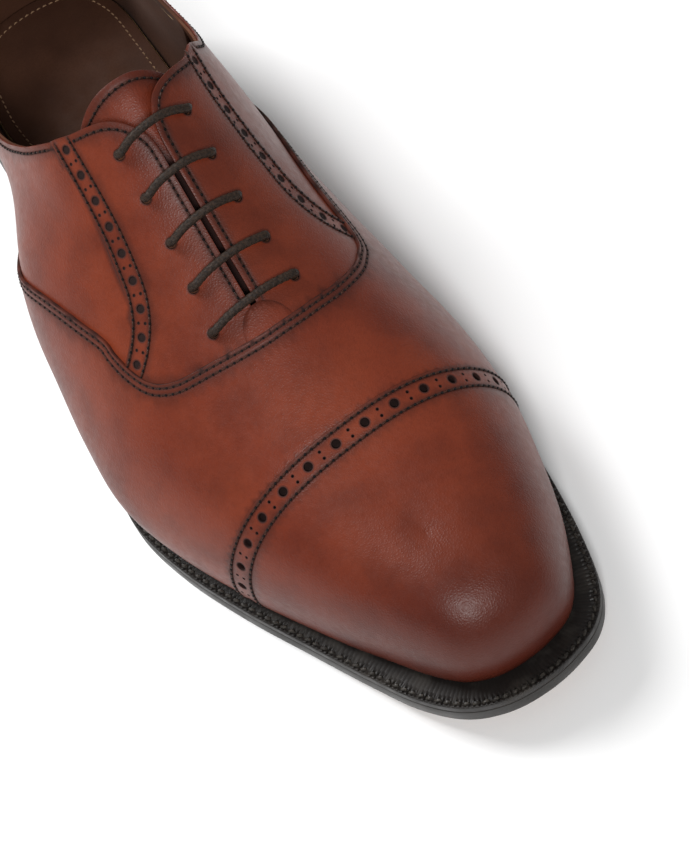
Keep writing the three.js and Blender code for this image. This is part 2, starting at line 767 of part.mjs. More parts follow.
// Straight down or up through a hole, and round the turn towards a heading, in face terms.
function throughHole(row, side, headingAbove, headingBelow) {
  const [x, y] = holePlace(row, side);
  const face = faceAt(x, y);
  const scale = depthScale(face);
  const flat = (heading) => {
    const v = new THREE.Vector3(heading[0], heading[1], 0);
    return v.addScaledVector(face.normal, -v.dot(face.normal)).normalize();
  };
  const bend = (heading, height, sign) => [0, 1, 2].map((i) => {
    const a = (i * Math.PI) / 4;
    const out = TURN * (1 - Math.cos(a));
    const rise = height + sign * TURN * Math.sin(a);
    return face.point.clone().addScaledVector(face.normal, rise)
      .addScaledVector(flat(heading), out);
  });
  const top = bend(headingAbove, LACE_OVER - TURN, 1);
  const bottom = bend(headingBelow, TURN - LACE_UNDER * scale, -1);
  return [...top.reverse(), ...bottom];
}

// The bar from one side to the other, over the face.
function bar(row, from) {
  return [0.55, 0.2, -0.2, -0.55].map((part) => {
    const x = part * from * ROW_HALF[row];
    return below(x, TOP_ROW_Y - row * ROW_PITCH + SWING * x, -LACE_OVER);
  });
}

// A run on the inside from one row to another, bowed aside by sway.
function run(side, from, to, sway) {
  const a = holePlace(from, side);
  const b = holePlace(to, side);
  const parts = Math.abs(to - from) === 1 ? [0.5] : [0.26, 0.5, 0.74];
  return parts.map((t) => {
    const x = THREE.MathUtils.lerp(a[0], b[0], t) + sway;
    return below(x, THREE.MathUtils.lerp(a[1], b[1], t), LACE_UNDER);
  });
}

// Straight-bar lacing with one lace: each end climbs inside and crosses over in turn.
function heldLace() {
  const up = [0, 1];
  const down = [0, -1];
  const out = [-1, 0];
  const across = (side) => [-side, 0];
  return [
    ...throughHole(1, -1, across(-1), out).reverse(), ...bar(1, -1),
    ...throughHole(1, 1, across(1), [-0.5, -1]), ...run(1, 1, 3, -4.6),
    ...throughHole(3, 1, across(1), [-0.5, 1]).reverse(), ...bar(3, 1),
    ...throughHole(3, -1, across(-1), down), ...run(-1, 3, 4, 0),
    ...throughHole(4, -1, across(-1), up).reverse(), ...bar(4, -1),
    ...throughHole(4, 1, across(1), [0.5, 1]), ...run(1, 4, 2, 4.6),
    ...throughHole(2, 1, across(1), [0.5, -1]).reverse(), ...bar(2, 1),
    ...throughHole(2, -1, across(-1), [0.5, 1]), ...run(-1, 2, 0, 4.6),
    ...throughHole(0, -1, across(-1), [0.5, -1]).reverse(), ...bar(0, -1),
    ...throughHole(0, 1, across(1), [1, 0]),
  ];
}

// Free end of the lace: down inside the quarter, then forward along the sock.
// The points on the sock are seen from above.
const tailOnSock = {
  outer: [[-41, 3], [-41, -12], [-40, -30], [-38, -48], [-33, -66], [-25, -83], [-14, -97], [-2, -106]],
  inner: [[22, 20], [26, 2], [31, -18], [35, -38], [37, -58], [35, -78], [28, -95], [17, -106]],
};

function tailRoute(name, row, side) {
  const [x, y] = holePlace(row, side);
  const station = stationAt(side < 0 ? outerSide : innerSide, y);
  const start = below(x + side * (TURN + 3 * GAP), y, LACE_UNDER);
  const wall = [0.72, 0.6, 0.48, 0.36, 0.26].map((up) => lastPoint(station, up, LACE_UNDER + 0.1));
  const hover = SOLE_STACK + INSOLE + SOCK + 2 * GAP + LACE_RADIUS + 3 * GAP;
  const foot = tailOnSock[name].map(([px, py]) => {
    return new THREE.Vector3(px, py, soleBottom(py) + hover);
  });
  const entry = wall[wall.length - 1].clone().lerp(foot[0], 0.55);
  entry.z += 2;
  const curve = new THREE.CatmullRomCurve3([start, ...wall, entry, ...foot], false, 'centripetal');
  curve.arcLengthDivisions = 1200;
  const steps = 34;
  const keep = TAIL_LENGTH / curve.getLength();
  return Array.from({ length: steps + 1 }, (_, i) => curve.getPointAt((keep * i) / steps));
}

function makeTail(name, row, side) {
  const route = tailRoute(name, row, side);
  const end = route[route.length - 1];
  const ahead = end.clone().sub(route[route.length - 2]).normalize();
  const sleeve = [0, 0.5, 1].map((t) => end.clone().addScaledVector(ahead, GAP + t * AGLET.length));
  return {
    [`lace_end_${name}`]: tube(route, LACE_RADIUS, LACE_SIDES),
    [`aglet_${name}`]: tube(sleeve, AGLET.radius, 10),
  };
}

function makeLacing() {
  const parts = { lace: tube(heldLace(), LACE_RADIUS, LACE_SIDES) };
  for (let row = 0; row < ROWS; row += 1) {
    parts[`eyelet_outer_${row + 1}`] = eyeletGeometry(row, -1);
    parts[`eyelet_inner_${row + 1}`] = eyeletGeometry(row, 1);
  }
  return { ...parts, ...makeTail('outer', 1, -1), ...makeTail('inner', 0, 1) };
}

// ---------------------------------------------------------------- assembly

const finishes = {
  upper: { color: 0x83402b, roughness: 0.42, metalness: 0 },
  lining: { color: 0x6b4128, roughness: 0.75, metalness: 0 },
  stiffener: { color: 0xb49468, roughness: 0.8, metalness: 0 },
  black_edge: { color: 0x1b1816, roughness: 0.5, metalness: 0 },
  sole: { color: 0x4a3a2c, roughness: 0.55, metalness: 0 },
  rubber: { color: 0x161616, roughness: 0.8, metalness: 0 },
  insole: { color: 0xb08a5e, roughness: 0.8, metalness: 0 },
  cork: { color: 0x8a6a45, roughness: 0.95, metalness: 0 },
  steel: { color: 0x9a9da0, roughness: 0.35, metalness: 1 },
  brass: { color: 0x8f7440, roughness: 0.35, metalness: 1 },
  cord: { color: 0x33271f, roughness: 0.6, metalness: 0 },
  aglet: { color: 0x241c17, roughness: 0.3, metalness: 0 },
};

function finishOf(name) {
  const rules = [
    [/^(lining|vamp_lining|heel_lining|tongue_lining|sock)/, 'lining'],
    [/^(toe_puff|heel_counter)/, 'stiffener'],
    [/^(welt|heel_rand|heel_lift|heel_wedge)/, 'black_edge'],
    [/^outsole/, 'sole'],
    [/^heel_top_piece/, 'rubber'],
    [/^insole/, 'insole'],
    [/^cork/, 'cork'],
    [/^shank/, 'steel'],
    [/^eyelet/, 'brass'],
    [/^lace/, 'cord'],
    [/^aglet/, 'aglet'],
  ];
  const rule = rules.find(([pattern]) => pattern.test(name));
  return finishes[rule ? rule[1] : 'upper'];
}

// The rear stands a little to the lateral side, and the waist is full on that side.
const REAR_SWING = 10;
const REAR_SWING_Y = [42, 112];
const WAIST_FULLNESS = 7;
const WAIST_Y = 38;
const WAIST_REACH = 27;
const WAIST_SIDE_X = [-10, -32];
const WAIST_TOP_Z = [58, 88];

function easeBetween([from, to], value) {
  const t = Math.min(Math.max((value - from) / (to - from), 0), 1);
  return t * t * (3 - 2 * t);
}

function swungX(x, y, z) {
  const waist = Math.exp(-(((y - WAIST_Y) / WAIST_REACH) ** 2));
  const side = easeBetween(WAIST_SIDE_X, x) * (1 - easeBetween(WAIST_TOP_Z, z));
  return x - REAR_SWING * easeBetween(REAR_SWING_Y, y) - WAIST_FULLNESS * waist * side;
}

function swingRear(geometry) {
  const place = geometry.getAttribute('position');
  for (let i = 0; i < place.count; i += 1) {
    place.setX(i, swungX(place.getX(i), place.getY(i), place.getZ(i)));
  }
}

function addAll(group, parts) {
  for (const [name, part] of Object.entries(parts)) {
    const geometry = solidGeometry(part.isBufferGeometry ? part : fromManifold(part));
    swingRear(geometry);
    geometry.computeVertexNormals();
    const mesh = new THREE.Mesh(geometry, new THREE.MeshStandardMaterial(finishOf(name)));
    mesh.name = name;
    group.add(mesh);
  }
}

const shoe = new THREE.Group();
addAll(shoe, makeUpper());
addAll(shoe, makeLinings());
addAll(shoe, makeTongue());
addAll(shoe, makeBottom());
addAll(shoe, makeHeel());
addAll(shoe, makeLacing());
shoe.position.set(AXIS_X, -(TOE_Y + HEEL_Y) / 2, 0);
shoe.updateMatrixWorld(true);

export default shoe;
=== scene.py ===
"""Looks of a leather oxford shoe.

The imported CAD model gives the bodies, the nodes and the box. This file dresses them: leather
panels cut and punched flat and laid over the shape of the last, sewn seams, a waxed lace,
linings, a wheeled welt, a leather sole and a stacked heel. Lengths are in millimetres in the
shoe's own axis frame until a mesh is made, and in metres in the row frame after that.
"""

import json
import logging
import math
from dataclasses import dataclass, field
from enum import Enum
from typing import Callable, Sequence

import bpy
import numpy as np
from mathutils import Matrix, Vector
from mathutils.geometry import delaunay_2d_cdt
from mathutils.kdtree import KDTree

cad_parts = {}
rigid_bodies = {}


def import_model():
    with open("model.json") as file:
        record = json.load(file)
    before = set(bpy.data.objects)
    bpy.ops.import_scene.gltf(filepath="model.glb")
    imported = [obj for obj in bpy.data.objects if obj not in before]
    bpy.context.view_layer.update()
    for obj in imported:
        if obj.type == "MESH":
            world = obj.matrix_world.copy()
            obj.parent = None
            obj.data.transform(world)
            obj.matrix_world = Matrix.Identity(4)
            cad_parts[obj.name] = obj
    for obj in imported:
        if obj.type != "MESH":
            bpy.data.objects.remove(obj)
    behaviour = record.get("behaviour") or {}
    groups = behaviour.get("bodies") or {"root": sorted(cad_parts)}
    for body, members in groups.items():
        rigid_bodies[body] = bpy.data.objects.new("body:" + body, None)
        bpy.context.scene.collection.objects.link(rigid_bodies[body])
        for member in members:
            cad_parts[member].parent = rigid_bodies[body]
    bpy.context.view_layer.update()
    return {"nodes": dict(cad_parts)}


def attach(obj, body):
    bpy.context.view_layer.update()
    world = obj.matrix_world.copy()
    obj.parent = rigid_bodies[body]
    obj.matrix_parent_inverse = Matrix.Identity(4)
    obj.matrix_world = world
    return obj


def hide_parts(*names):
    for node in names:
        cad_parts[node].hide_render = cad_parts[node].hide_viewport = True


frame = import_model()

LOG = logging.getLogger("oxford")
MM = 0.001
REAR_SWING, REAR_SWING_Y = 10.0, (42, 112)
WAIST_FULLNESS, WAIST_Y, WAIST_REACH = 7.0, 38, 27
WAIST_SIDE_X, WAIST_TOP_Z = (10, 32), (58, 88)
AXIS_SHIFT = np.array([5.1, -0.25, 0.0])
Colour = tuple[float, float, float]
Points = np.ndarray
Mesh = tuple[Points, list[tuple[int, ...]]]


class Side(Enum):
    """Side of the shoe: the outer side is -X, the inner side is +X."""

    OUTER = -1
    INNER = 1


class Body(Enum):
    """Rigid bodies that a piece can ride on."""

    SHOE = "shoe"
    TONGUE = "tongue"


def smoothstep(low: float, high: float, value: Points) -> Points:
    """Rises smoothly from 0 at low to 1 at high."""
    x = np.clip((value - low) / (high - low), 0, 1)
    return x * x * (3 - 2 * x)


def to_row(points: Points) -> Points:
    """Turns axis-frame millimetres into row-frame metres.

    The rear stands a little to the lateral side, and the waist is full on that side.
    """
    swung = np.array(points, float)
    x, y, z = swung.T
    side = smoothstep(*WAIST_SIDE_X, -x) * (1 - smoothstep(*WAIST_TOP_Z, z))
    waist = WAIST_FULLNESS * np.exp(-(((y - WAIST_Y) / WAIST_REACH) ** 2)) * side
    swung[:, 0] -= REAR_SWING * smoothstep(*REAR_SWING_Y, y) + waist
    return (swung + AXIS_SHIFT) * MM


# ------------------------------------------------------------------ shape of the last

OUTLINE = [
    (16, -149.5), (28, -147), (39, -141), (46, -130), (50, -111), (52, -87), (52.5, -62),
    (49.5, -37), (42.5, -12), (35, 12), (30.5, 36), (30, 60), (32.5, 84), (34, 108),
    (31, 130), (20, 145.5), (0, 150), (-20, 145.5), (-31, 130), (-34, 108), (-34.5, 84),
    (-37.5, 60), (-45, 37), (-54, 14), (-61.5, -8), (-64, -30), (-58.5, -52), (-48.5, -74.5),
    (-37, -96), (-26.5, -116), (-17.5, -132), (-7.5, -143.3), (4, -148.7),
]
OUTSOLE, WELT, GAP, INSOLE = 5.4, 3.3, 0.3, 2.5
SOLE_STACK = OUTSOLE + WELT + 2 * GAP
HEEL_BREAST_Y = 66.0
CAP_Y, SWING = -66.6, 0.115
ROW_HALF = [12.0, 11.7, 11.9, 13.0, 14.7]
TOP_ROW_Y, ROW_PITCH = 25.2, 12.55
LACE_RADIUS, LACE_OVER, LACE_UNDER, TURN = 1.2, 1.9, 5.75, 1.8
TAIL_LENGTH = 205.0
SPAN_U, SPAN_V, BEND_V = 300.0, 95.0, 0.85


def profile(points: Sequence[tuple[float, float]]) -> Callable[[Points], Points]:
    """Makes a smooth curve through points, level past both ends.

    Args:
        points: pairs of place and value, in rising order of place.

    Returns:
        A function of places that gives the values there.
    """
    table = np.array(points, float)
    at, value = table[:, 0], table[:, 1]
    slope = np.empty(len(at))
    slope[1:-1] = (value[2:] - value[:-2]) / (at[2:] - at[:-2])
    slope[0] = (value[1] - value[0]) / (at[1] - at[0])
    slope[-1] = (value[-1] - value[-2]) / (at[-1] - at[-2])

    def curve(where: Points) -> Points:
        """Value of the curve at each place."""
        y = np.clip(where, at[0], at[-1])
        i = np.clip(np.searchsorted(at, y) - 1, 0, len(at) - 2)
        h = at[i + 1] - at[i]
        t = (y - at[i]) / h
        rise = t * t * (3 - 2 * t)
        ends = value[i] * (1 - rise) + value[i + 1] * rise
        return ends + slope[i] * h * t * (1 - t) ** 2 + slope[i + 1] * h * t * t * (t - 1)

    return curve


sole_pitch = profile([
    (-150, 10), (-125, 4), (-100, 0.8), (-74, 0), (-38, 0), (-5, 3.5), (25, 11.5), (52, 19),
    (75, 23), (110, 25.5), (150, 26.5),
])
welt_width = profile([
    (-150, 9.5), (-128, 9), (-105, 6.5), (-80, 5), (-50, 4.2), (-20, 3.2), (10, 2.2),
    (60, 1.8), (100, 2), (150, 2.4),
])
outer_bulge = profile([
    (-150, 1.5), (-120, 1.5), (-80, 1.8), (-50, 2.5), (-20, 4), (10, 6.5), (45, 7), (80, 4.5),
    (110, 2.5), (150, 1.8),
])
inner_bulge = profile([
    (-150, 1.5), (-125, 2), (-90, 4), (-60, 6), (-20, 7.5), (10, 8.5), (45, 7), (80, 4.5),
    (110, 2.5), (150, 1.8),
])
widest_rise = profile([
    (-150, 7), (-110, 8), (-60, 10), (-20, 14), (20, 20), (60, 22), (110, 20), (150, 20),
])
ridge_height = profile([
    (-120, 48.5), (-105, 51), (-90, 54), (-70, 60), (-50, 67.5), (-33, 74.5), (-15, 83.5),
    (0, 92), (15, 102), (30, 112), (45, 121), (60, 129), (80, 136), (110, 140), (125, 140),
])
ridge_x = profile([(-120, 11), (-100, 8), (-60, 2), (-33, 0), (0, 0), (125, 0)])
arch_wide = profile([
    (-150, 2.7), (-110, 2.7), (-70, 2.3), (-35, 1.9), (0, 1.75), (30, 1.8), (60, 2.4),
    (90, 3.2), (125, 3.2),
])
arch_tall = profile([
    (-150, 2.3), (-110, 2.3), (-70, 2), (-35, 1.6), (0, 1.5), (30, 1.5), (60, 1.7), (90, 2),
    (125, 2),
])
topline = profile([
    (20, 117), (29, 111.5), (35, 109), (38, 106.5), (41.5, 103), (50, 96), (62, 86), (74, 79),
    (88, 77), (105, 80), (125, 88), (152, 98),
])
wing_line = profile([
    (-45, 50), (-20, 60), (-8, 63), (5, 65.5), (17, 66), (28, 63), (40, 57), (60, 47),
    (85, 38), (105, 31), (130, 27), (160, 26),
])


def sole_bottom(y: Points) -> Points:
    """Height of the sole's underside along the shoe."""
    return np.maximum(sole_pitch(y), 0.0)


def past_cap(place: Points) -> Points:
    """How far each point lies behind the cap's rear edge."""
    return place[:, 1] - SWING * place[:, 0] - CAP_Y


def row_y(row: int, x: float) -> float:
    """How far along the shoe a lacing row lies at a place across it; row 0 is the top one."""
    return TOP_ROW_Y - row * ROW_PITCH + SWING * x


def ridge_y(y: Points) -> Points:
    """Place along the ridge where the rib of a widest point at y ends."""
    toe, heel, soft = -106.0, 112.0, 16.0
    near = toe + soft * np.log1p(np.exp(np.clip((y - toe) / soft, -40, 40)))
    return heel - soft * np.log1p(np.exp(np.clip((heel - near) / soft, -40, 40)))


def catmull(points: Points, count: int, closed: bool = False) -> Points:
    """Samples a uniform Catmull-Rom curve through points.

    Args:
        points: the points, one row each.
        count: number of samples.
        closed: whether the curve comes back to its first point.

    Returns:
        The samples, one row each.
    """
    knots = np.asarray(points, float)
    if closed:
        padded = np.vstack([knots[-1:], knots, knots[:2]])
        spans, t = len(knots), np.linspace(0, len(knots), count, endpoint=False)
    else:
        first = 2 * knots[:1] - knots[1:2]
        final = 2 * knots[-1:] - knots[-2:-1]
        padded = np.vstack([first, knots, final])
        spans, t = len(knots) - 1, np.linspace(0, len(knots) - 1, count)
    i = np.minimum(t.astype(int), spans - 1)
    f = (t - i)[:, None]
    a, b, c, d = padded[i], padded[i + 1], padded[i + 2], padded[i + 3]
    curve = 2 * a - 5 * b + 4 * c - d + f * (3 * (b - c) + d - a)
    return b + 0.5 * f * (c - a + f * curve)


def run_along(line: Points) -> Points:
    """Distance of each point of a line from its start."""
    return np.r_[0, np.cumsum(np.linalg.norm(np.diff(line, axis=0), axis=1))]


def sample(line: Points, run: Points, at: Points | float) -> Points:
    """Points of a line at distances along its run."""
    return np.stack([np.interp(at, run, line[:, k]) for k in range(line.shape[1])], axis=-1)


def spaced(points: Points, step: float, closed: bool = False) -> Points:
    """Resamples a line at equal steps along its length.

    Args:
        points: the line, one point a row.
        step: wanted distance between samples.
        closed: whether the line comes back to its first point.

    Returns:
        The samples, without a repeated first point when closed.
    """
    line = np.vstack([points, points[:1]]) if closed else np.asarray(points, float)
    run = run_along(line)
    count = max(int(round(run[-1] / step)), 3 if closed else 1)
    at = np.linspace(0, run[-1], count + 1)
    if closed:
        at = at[:-1]
    return sample(line, run, at)


def unit(vectors: Points) -> Points:
    """Scales each row to length one."""
    size = np.linalg.norm(vectors, axis=-1, keepdims=True)
    return vectors / np.maximum(size, 1e-9)


def flat(t: Points, a: Points) -> Points:
    """Place on the flat pattern of a point of the last."""
    return np.column_stack([t * SPAN_U, np.sign(a) * np.abs(a) ** BEND_V * SPAN_V])


def unflat(pattern: Points) -> tuple[Points, Points]:
    """Undoes flat: the t and a of places on the pattern."""
    v = pattern[:, 1] / SPAN_V
    return pattern[:, 0] / SPAN_U, np.sign(v) * np.abs(v) ** (1 / BEND_V)


class Last:
    """The form that the upper is pulled over.

    A point is named by t, from the toe at 0 to the heel at 1, and by a, from -1 at the outer
    feather line over 0 on the ridge to 1 at the inner feather line.
    """

    wide_at = 0.16
    feather_angle = math.radians(40)

    def __init__(self) -> None:
        """Samples the outline and keeps its two sides as tables."""
        edge = spaced(catmull(OUTLINE, 5760, True), 0.5, True)
        along = unit(np.roll(edge, -1, 0) - np.roll(edge, 1, 0))
        out = np.column_stack([along[:, 1], -along[:, 0]])
        feather = edge - out * welt_width(edge[:, 1])[:, None]
        spine = ridge_x(ridge_y(edge[:, 1]))
        side = 1 / (1 + np.exp(-(edge[:, 0] - spine) / 6))
        bulge = outer_bulge(edge[:, 1]) * (1 - side) + inner_bulge(edge[:, 1]) * side
        widest = feather + out * bulge[:, None]
        self.edge, self.out, self.feather, self.widest = edge, out, feather, widest
        toe, heel = int(np.argmin(widest[:, 1])), int(np.argmax(widest[:, 1]))
        count = len(edge)
        inner = [(toe + i) % count for i in range((heel - toe) % count + 1)]
        outer = [(toe - i) % count for i in range((toe - heel) % count + 1)]
        self.order = {Side.INNER: inner, Side.OUTER: outer}
        self.tables = {side: self._table(order) for side, order in self.order.items()}
        self.toe, self.heel = widest[toe, 1], widest[heel, 1]
        t, a = np.meshgrid(np.linspace(0, 1, 421), np.linspace(-1, 1, 481), indexing="ij")
        self.grid_t, self.grid_a = t.ravel(), a.ravel()
        self.grid = self.point(self.grid_t, self.grid_a)

    def _table(self, order: list[int]) -> tuple[Points, Points]:
        """One side's samples by rising y: the ys and a row of six values for each."""
        rows = np.hstack([self.out[order], self.feather[order], self.widest[order]])
        return np.maximum.accumulate(self.widest[order][:, 1]), rows

    def station(self, y: Points, inner: Points) -> tuple[Points, Points, Points]:
        """Outward direction, feather point and widest point of the ribs at y."""
        found = []
        for side in (Side.OUTER, Side.INNER):
            ys, rows = self.tables[side]
            found.append(np.column_stack([np.interp(y, ys, rows[:, k]) for k in range(6)]))
        rows = np.where(inner[:, None], found[1], found[0])
        return unit(rows[:, 0:2]), rows[:, 2:4], rows[:, 4:6]

    def point(self, t: Points, a: Points, depth: Points | float = 0.0) -> Points:
        """Points of the last, or of a layer inside it.

        Args:
            t: places along the shoe, 0 to 1.
            a: places across it, -1 to 1.
            depth: how far inside the last the layer lies.

        Returns:
            The points, one row each.
        """
        t, a = np.clip(np.atleast_1d(t), 0, 1), np.clip(np.atleast_1d(a), -1, 1)
        deep = np.broadcast_to(depth, t.shape)
        y = self.toe + (self.heel - self.toe) * (1 - np.cos(np.pi * t)) / 2
        out, feather, widest = self.station(y, a >= 0)
        low, wide = feather - out * deep[:, None], widest - out * deep[:, None]
        base = sole_bottom(feather[:, 1]) + SOLE_STACK
        side_z = base + widest_rise(widest[:, 1])
        ridge = ridge_y(widest[:, 1])
        up = 1 - np.abs(a)
        foot = self.feather_angle
        lean = foot + (np.pi / 2 - foot) * np.clip(up / self.wide_at, 0, 1)
        across = (np.sin(lean) - np.sin(foot)) / (1 - np.sin(foot))
        rise = 1 - np.cos(lean) / np.cos(foot)
        wall = low + (wide - low) * across[:, None]
        wall_z = base + (side_z - base) * rise
        turn = np.clip((up - self.wide_at) / (1 - self.wide_at), 0, 1) * np.pi / 2
        reach = np.cos(turn).clip(0) ** (2 / arch_wide(wide[:, 1]))
        lift = np.sin(turn).clip(0) ** (2 / arch_tall(wide[:, 1]))
        crown = np.column_stack([ridge_x(ridge), ridge])
        arch = crown + (wide - crown) * reach[:, None]
        arch_z = side_z + (ridge_height(ridge) - deep - side_z) * lift
        upper = up > self.wide_at
        plan = np.where(upper[:, None], arch, wall)
        return np.column_stack([plan, np.where(upper, arch_z, wall_z)])

    def locate(
        self,
        target: Points,
        axes: Sequence[int] = (0, 1, 2),
        side: Side | None = None,
        depth: float = 0.0,
    ) -> tuple[Points, Points]:
        """Finds the points of the last that match some of their coordinates.

        Args:
            target: wanted coordinates, one row a point.
            axes: which coordinates they are.
            side: the side to look on, or None for the whole top.
            depth: the layer to look on.

        Returns:
            t and a of each point.
        """
        axes = list(axes)
        want = np.atleast_2d(np.asarray(target, float))
        keep = np.ones(len(self.grid), bool)
        if side is not None:
            keep &= np.sign(self.grid_a) == side.value
        if axes == [0, 1]:
            keep &= np.abs(self.grid_a) < 0.85
        near = self.grid[keep][:, axes]
        tree_t, tree_a = self.grid_t[keep], self.grid_a[keep]
        pick = np.array([int(np.argmin(((near - w) ** 2).sum(1))) for w in want])
        t, a = tree_t[pick].copy(), tree_a[pick].copy()
        ht, ha = 1 / 600, 1 / 400
        for _ in range(6):
            miss = want - self.point(t, a, depth)[:, axes]
            by_t = self.point(t + ht, a, depth)[:, axes] - self.point(t - ht, a, depth)[:, axes]
            by_a = self.point(t, a + ha, depth)[:, axes] - self.point(t, a - ha, depth)[:, axes]
            by_t, by_a = by_t / (2 * ht), by_a / (2 * ha)
            tt, ta, aa = (by_t**2).sum(1), (by_t * by_a).sum(1), (by_a**2).sum(1)
            mt, ma = (by_t * miss).sum(1), (by_a * miss).sum(1)
            det = np.maximum(tt * aa - ta * ta, 1e-6)
            step_t = np.clip((mt * aa - ma * ta) / det, -0.03, 0.03)
            step_a = np.clip((ma * tt - mt * ta) / det, -0.03, 0.03)
            t, a = np.clip(t + 0.9 * step_t, 0, 1), np.clip(a + 0.9 * step_a, -1, 1)
        return t, a

    def normal(self, t: Points, a: Points) -> Points:
        """Outward direction of the surface at points of the last."""
        h = 1 / 500
        t0, a0 = np.clip(t, 3 * h, 1 - 3 * h), np.clip(a, -1 + 2 * h, 1 - 2 * h)
        by_t = self.point(t0 + h, a0) - self.point(t0 - h, a0)
        by_a = self.point(t0, a0 + h) - self.point(t0, a0 - h)
        turn = unit(np.cross(by_a, by_t))
        inside = self.point(t0, a0, 2.0) - self.point(t0, a0)
        return np.where((turn * inside).sum(1, keepdims=True) > 0, -turn, turn)

    def height(self, place: Points, depth: float) -> Points:
        """Height of a layer over places seen from above."""
        t, a = self.locate(place, (0, 1), None, depth)
        return self.point(t, a, depth)[:, 2]

    def face(self, place: Points) -> tuple[Points, Points]:
        """Points of the surface over places seen from above, and its directions there."""
        place = np.atleast_2d(np.asarray(place, float))
        h = 0.4
        z = self.height(place, 0.0)
        dx = self.height(place + [h, 0], 0.0) - self.height(place - [h, 0], 0.0)
        dy = self.height(place + [0, h], 0.0) - self.height(place - [0, h], 0.0)
        up = unit(np.column_stack([-dx / (2 * h), -dy / (2 * h), np.ones(len(z))]))
        return np.column_stack([place, z]), up

    def below(self, place: Points, depth: float) -> Points:
        """Points a layer's depth along the normal under the surface, or above it."""
        start, up = self.face(place)
        if depth <= 0:
            return start - up * depth
        travel = np.full(len(start), 5.0)
        for _ in range(5):
            at = start - up * travel[:, None]
            travel += (at[:, 2] - self.height(at[:, :2], 5.0)) * up[:, 2]
        return start - up * (depth * travel / 5.0)[:, None]


LAST = Last()


# ------------------------------------------------------------------ lines on the pattern


def plan_line(points: Sequence[tuple[float, float]], depth: float = 0.0) -> Points:
    """Pattern places of points seen from above."""
    return flat(*LAST.locate(points, (0, 1), None, depth))


def side_line(points: Sequence[tuple[float, float]], side: Side) -> Points:
    """Pattern places of points seen from one side, as pairs of y and z."""
    return flat(*LAST.locate(points, (1, 2), side))


def rib_at(y: float) -> float:
    """The t of the rib whose widest point is at y."""
    share = (y - LAST.toe) / (LAST.heel - LAST.toe)
    return math.acos(1 - 2 * min(max(share, 0.0), 1.0)) / math.pi


def feather_run(t_from: float, t_to: float, side: Side, count: int = 60) -> Points:
    """A stretch of one side's feather line between two ribs."""
    return flat(np.linspace(t_from, t_to, count), np.full(count, float(side.value)))


def t_at(pattern: Points, index: int = 0) -> float:
    """The t of one place of a line on the pattern."""
    return float(unflat(pattern[index][None])[0][0])


def a_at(pattern: Points, index: int = 0) -> float:
    """The a of one place of a line on the pattern."""
    return float(unflat(pattern[index][None])[1][0])


def heel_height(z: float, side: Side) -> float:
    """The a of the point at a height on the rib at the heel."""
    a = side.value * np.linspace(1, 0.2, 400)
    heights = LAST.point(np.ones(400), a)[:, 2]
    return float(side.value * np.interp(z, heights, np.abs(a)))


def surface(pattern: Points, depth: Points | float = 0.0) -> Points:
    """Points of a layer at places on the pattern."""
    t, a = unflat(pattern)
    return LAST.point(t, a, depth)


def offset(pattern: Points, shift: float) -> Points:
    """Moves a line sideways over the surface by a true distance.

    Args:
        pattern: the line on the pattern.
        shift: distance, to the left of its run as seen from outside.

    Returns:
        The moved line on the pattern.
    """
    line = surface(pattern)
    along = unit(np.gradient(line, axis=0))
    t, a = unflat(pattern)
    aside = unit(np.cross(LAST.normal(t, a), along))
    return flat(*LAST.locate(line + aside * shift, (0, 1, 2)))


def ring_at(centre: Points, radius: float, sides: int) -> Points:
    """A circle of true size round a place, drawn on the pattern."""
    t, a = unflat(centre[None])
    up = LAST.normal(t, a)[0]
    first = unit(np.cross(up, [0.0, 0.0, 1.0]) + 1e-6)
    second = np.cross(up, first)
    h = 0.4
    by_u = (surface(centre[None] + [[h, 0]]) - surface(centre[None] - [[h, 0]]))[0] / (2 * h)
    by_v = (surface(centre[None] + [[0, h]]) - surface(centre[None] - [[0, h]]))[0] / (2 * h)
    jacobian = np.column_stack([by_u, by_v])
    turn = np.linspace(0, 2 * np.pi, sides, endpoint=False)
    true = np.outer(np.cos(turn), first) + np.outer(np.sin(turn), second)
    steps = true * radius @ np.linalg.pinv(jacobian).T
    return centre + steps


def inside(points: Points, loop: Points) -> Points:
    """Whether each point lies inside a closed loop."""
    x, y = points[:, 0][:, None], points[:, 1][:, None]
    x0, y0 = loop[:, 0][None], loop[:, 1][None]
    x1, y1 = np.roll(loop[:, 0], -1)[None], np.roll(loop[:, 1], -1)[None]
    crosses = (y0 > y) != (y1 > y)
    rise = np.where(np.abs(y1 - y0) < 1e-12, 1e-12, y1 - y0)
    hit = crosses & (x < x0 + (x1 - x0) * (y - y0) / rise)
    return (hit.sum(1) % 2) == 1


def clear_of(points: Points, others: Points, reach: float) -> Points:
    """Whether each flat point is further than reach from all the others."""
    if not len(others):
        return np.ones(len(points), bool)
    tree = KDTree(len(others))
    for i, (u, v) in enumerate(others):
        tree.insert((u, v, 0.0), i)
    tree.balance()
    return np.array([tree.find((u, v, 0.0))[2] > reach for u, v in points], bool)


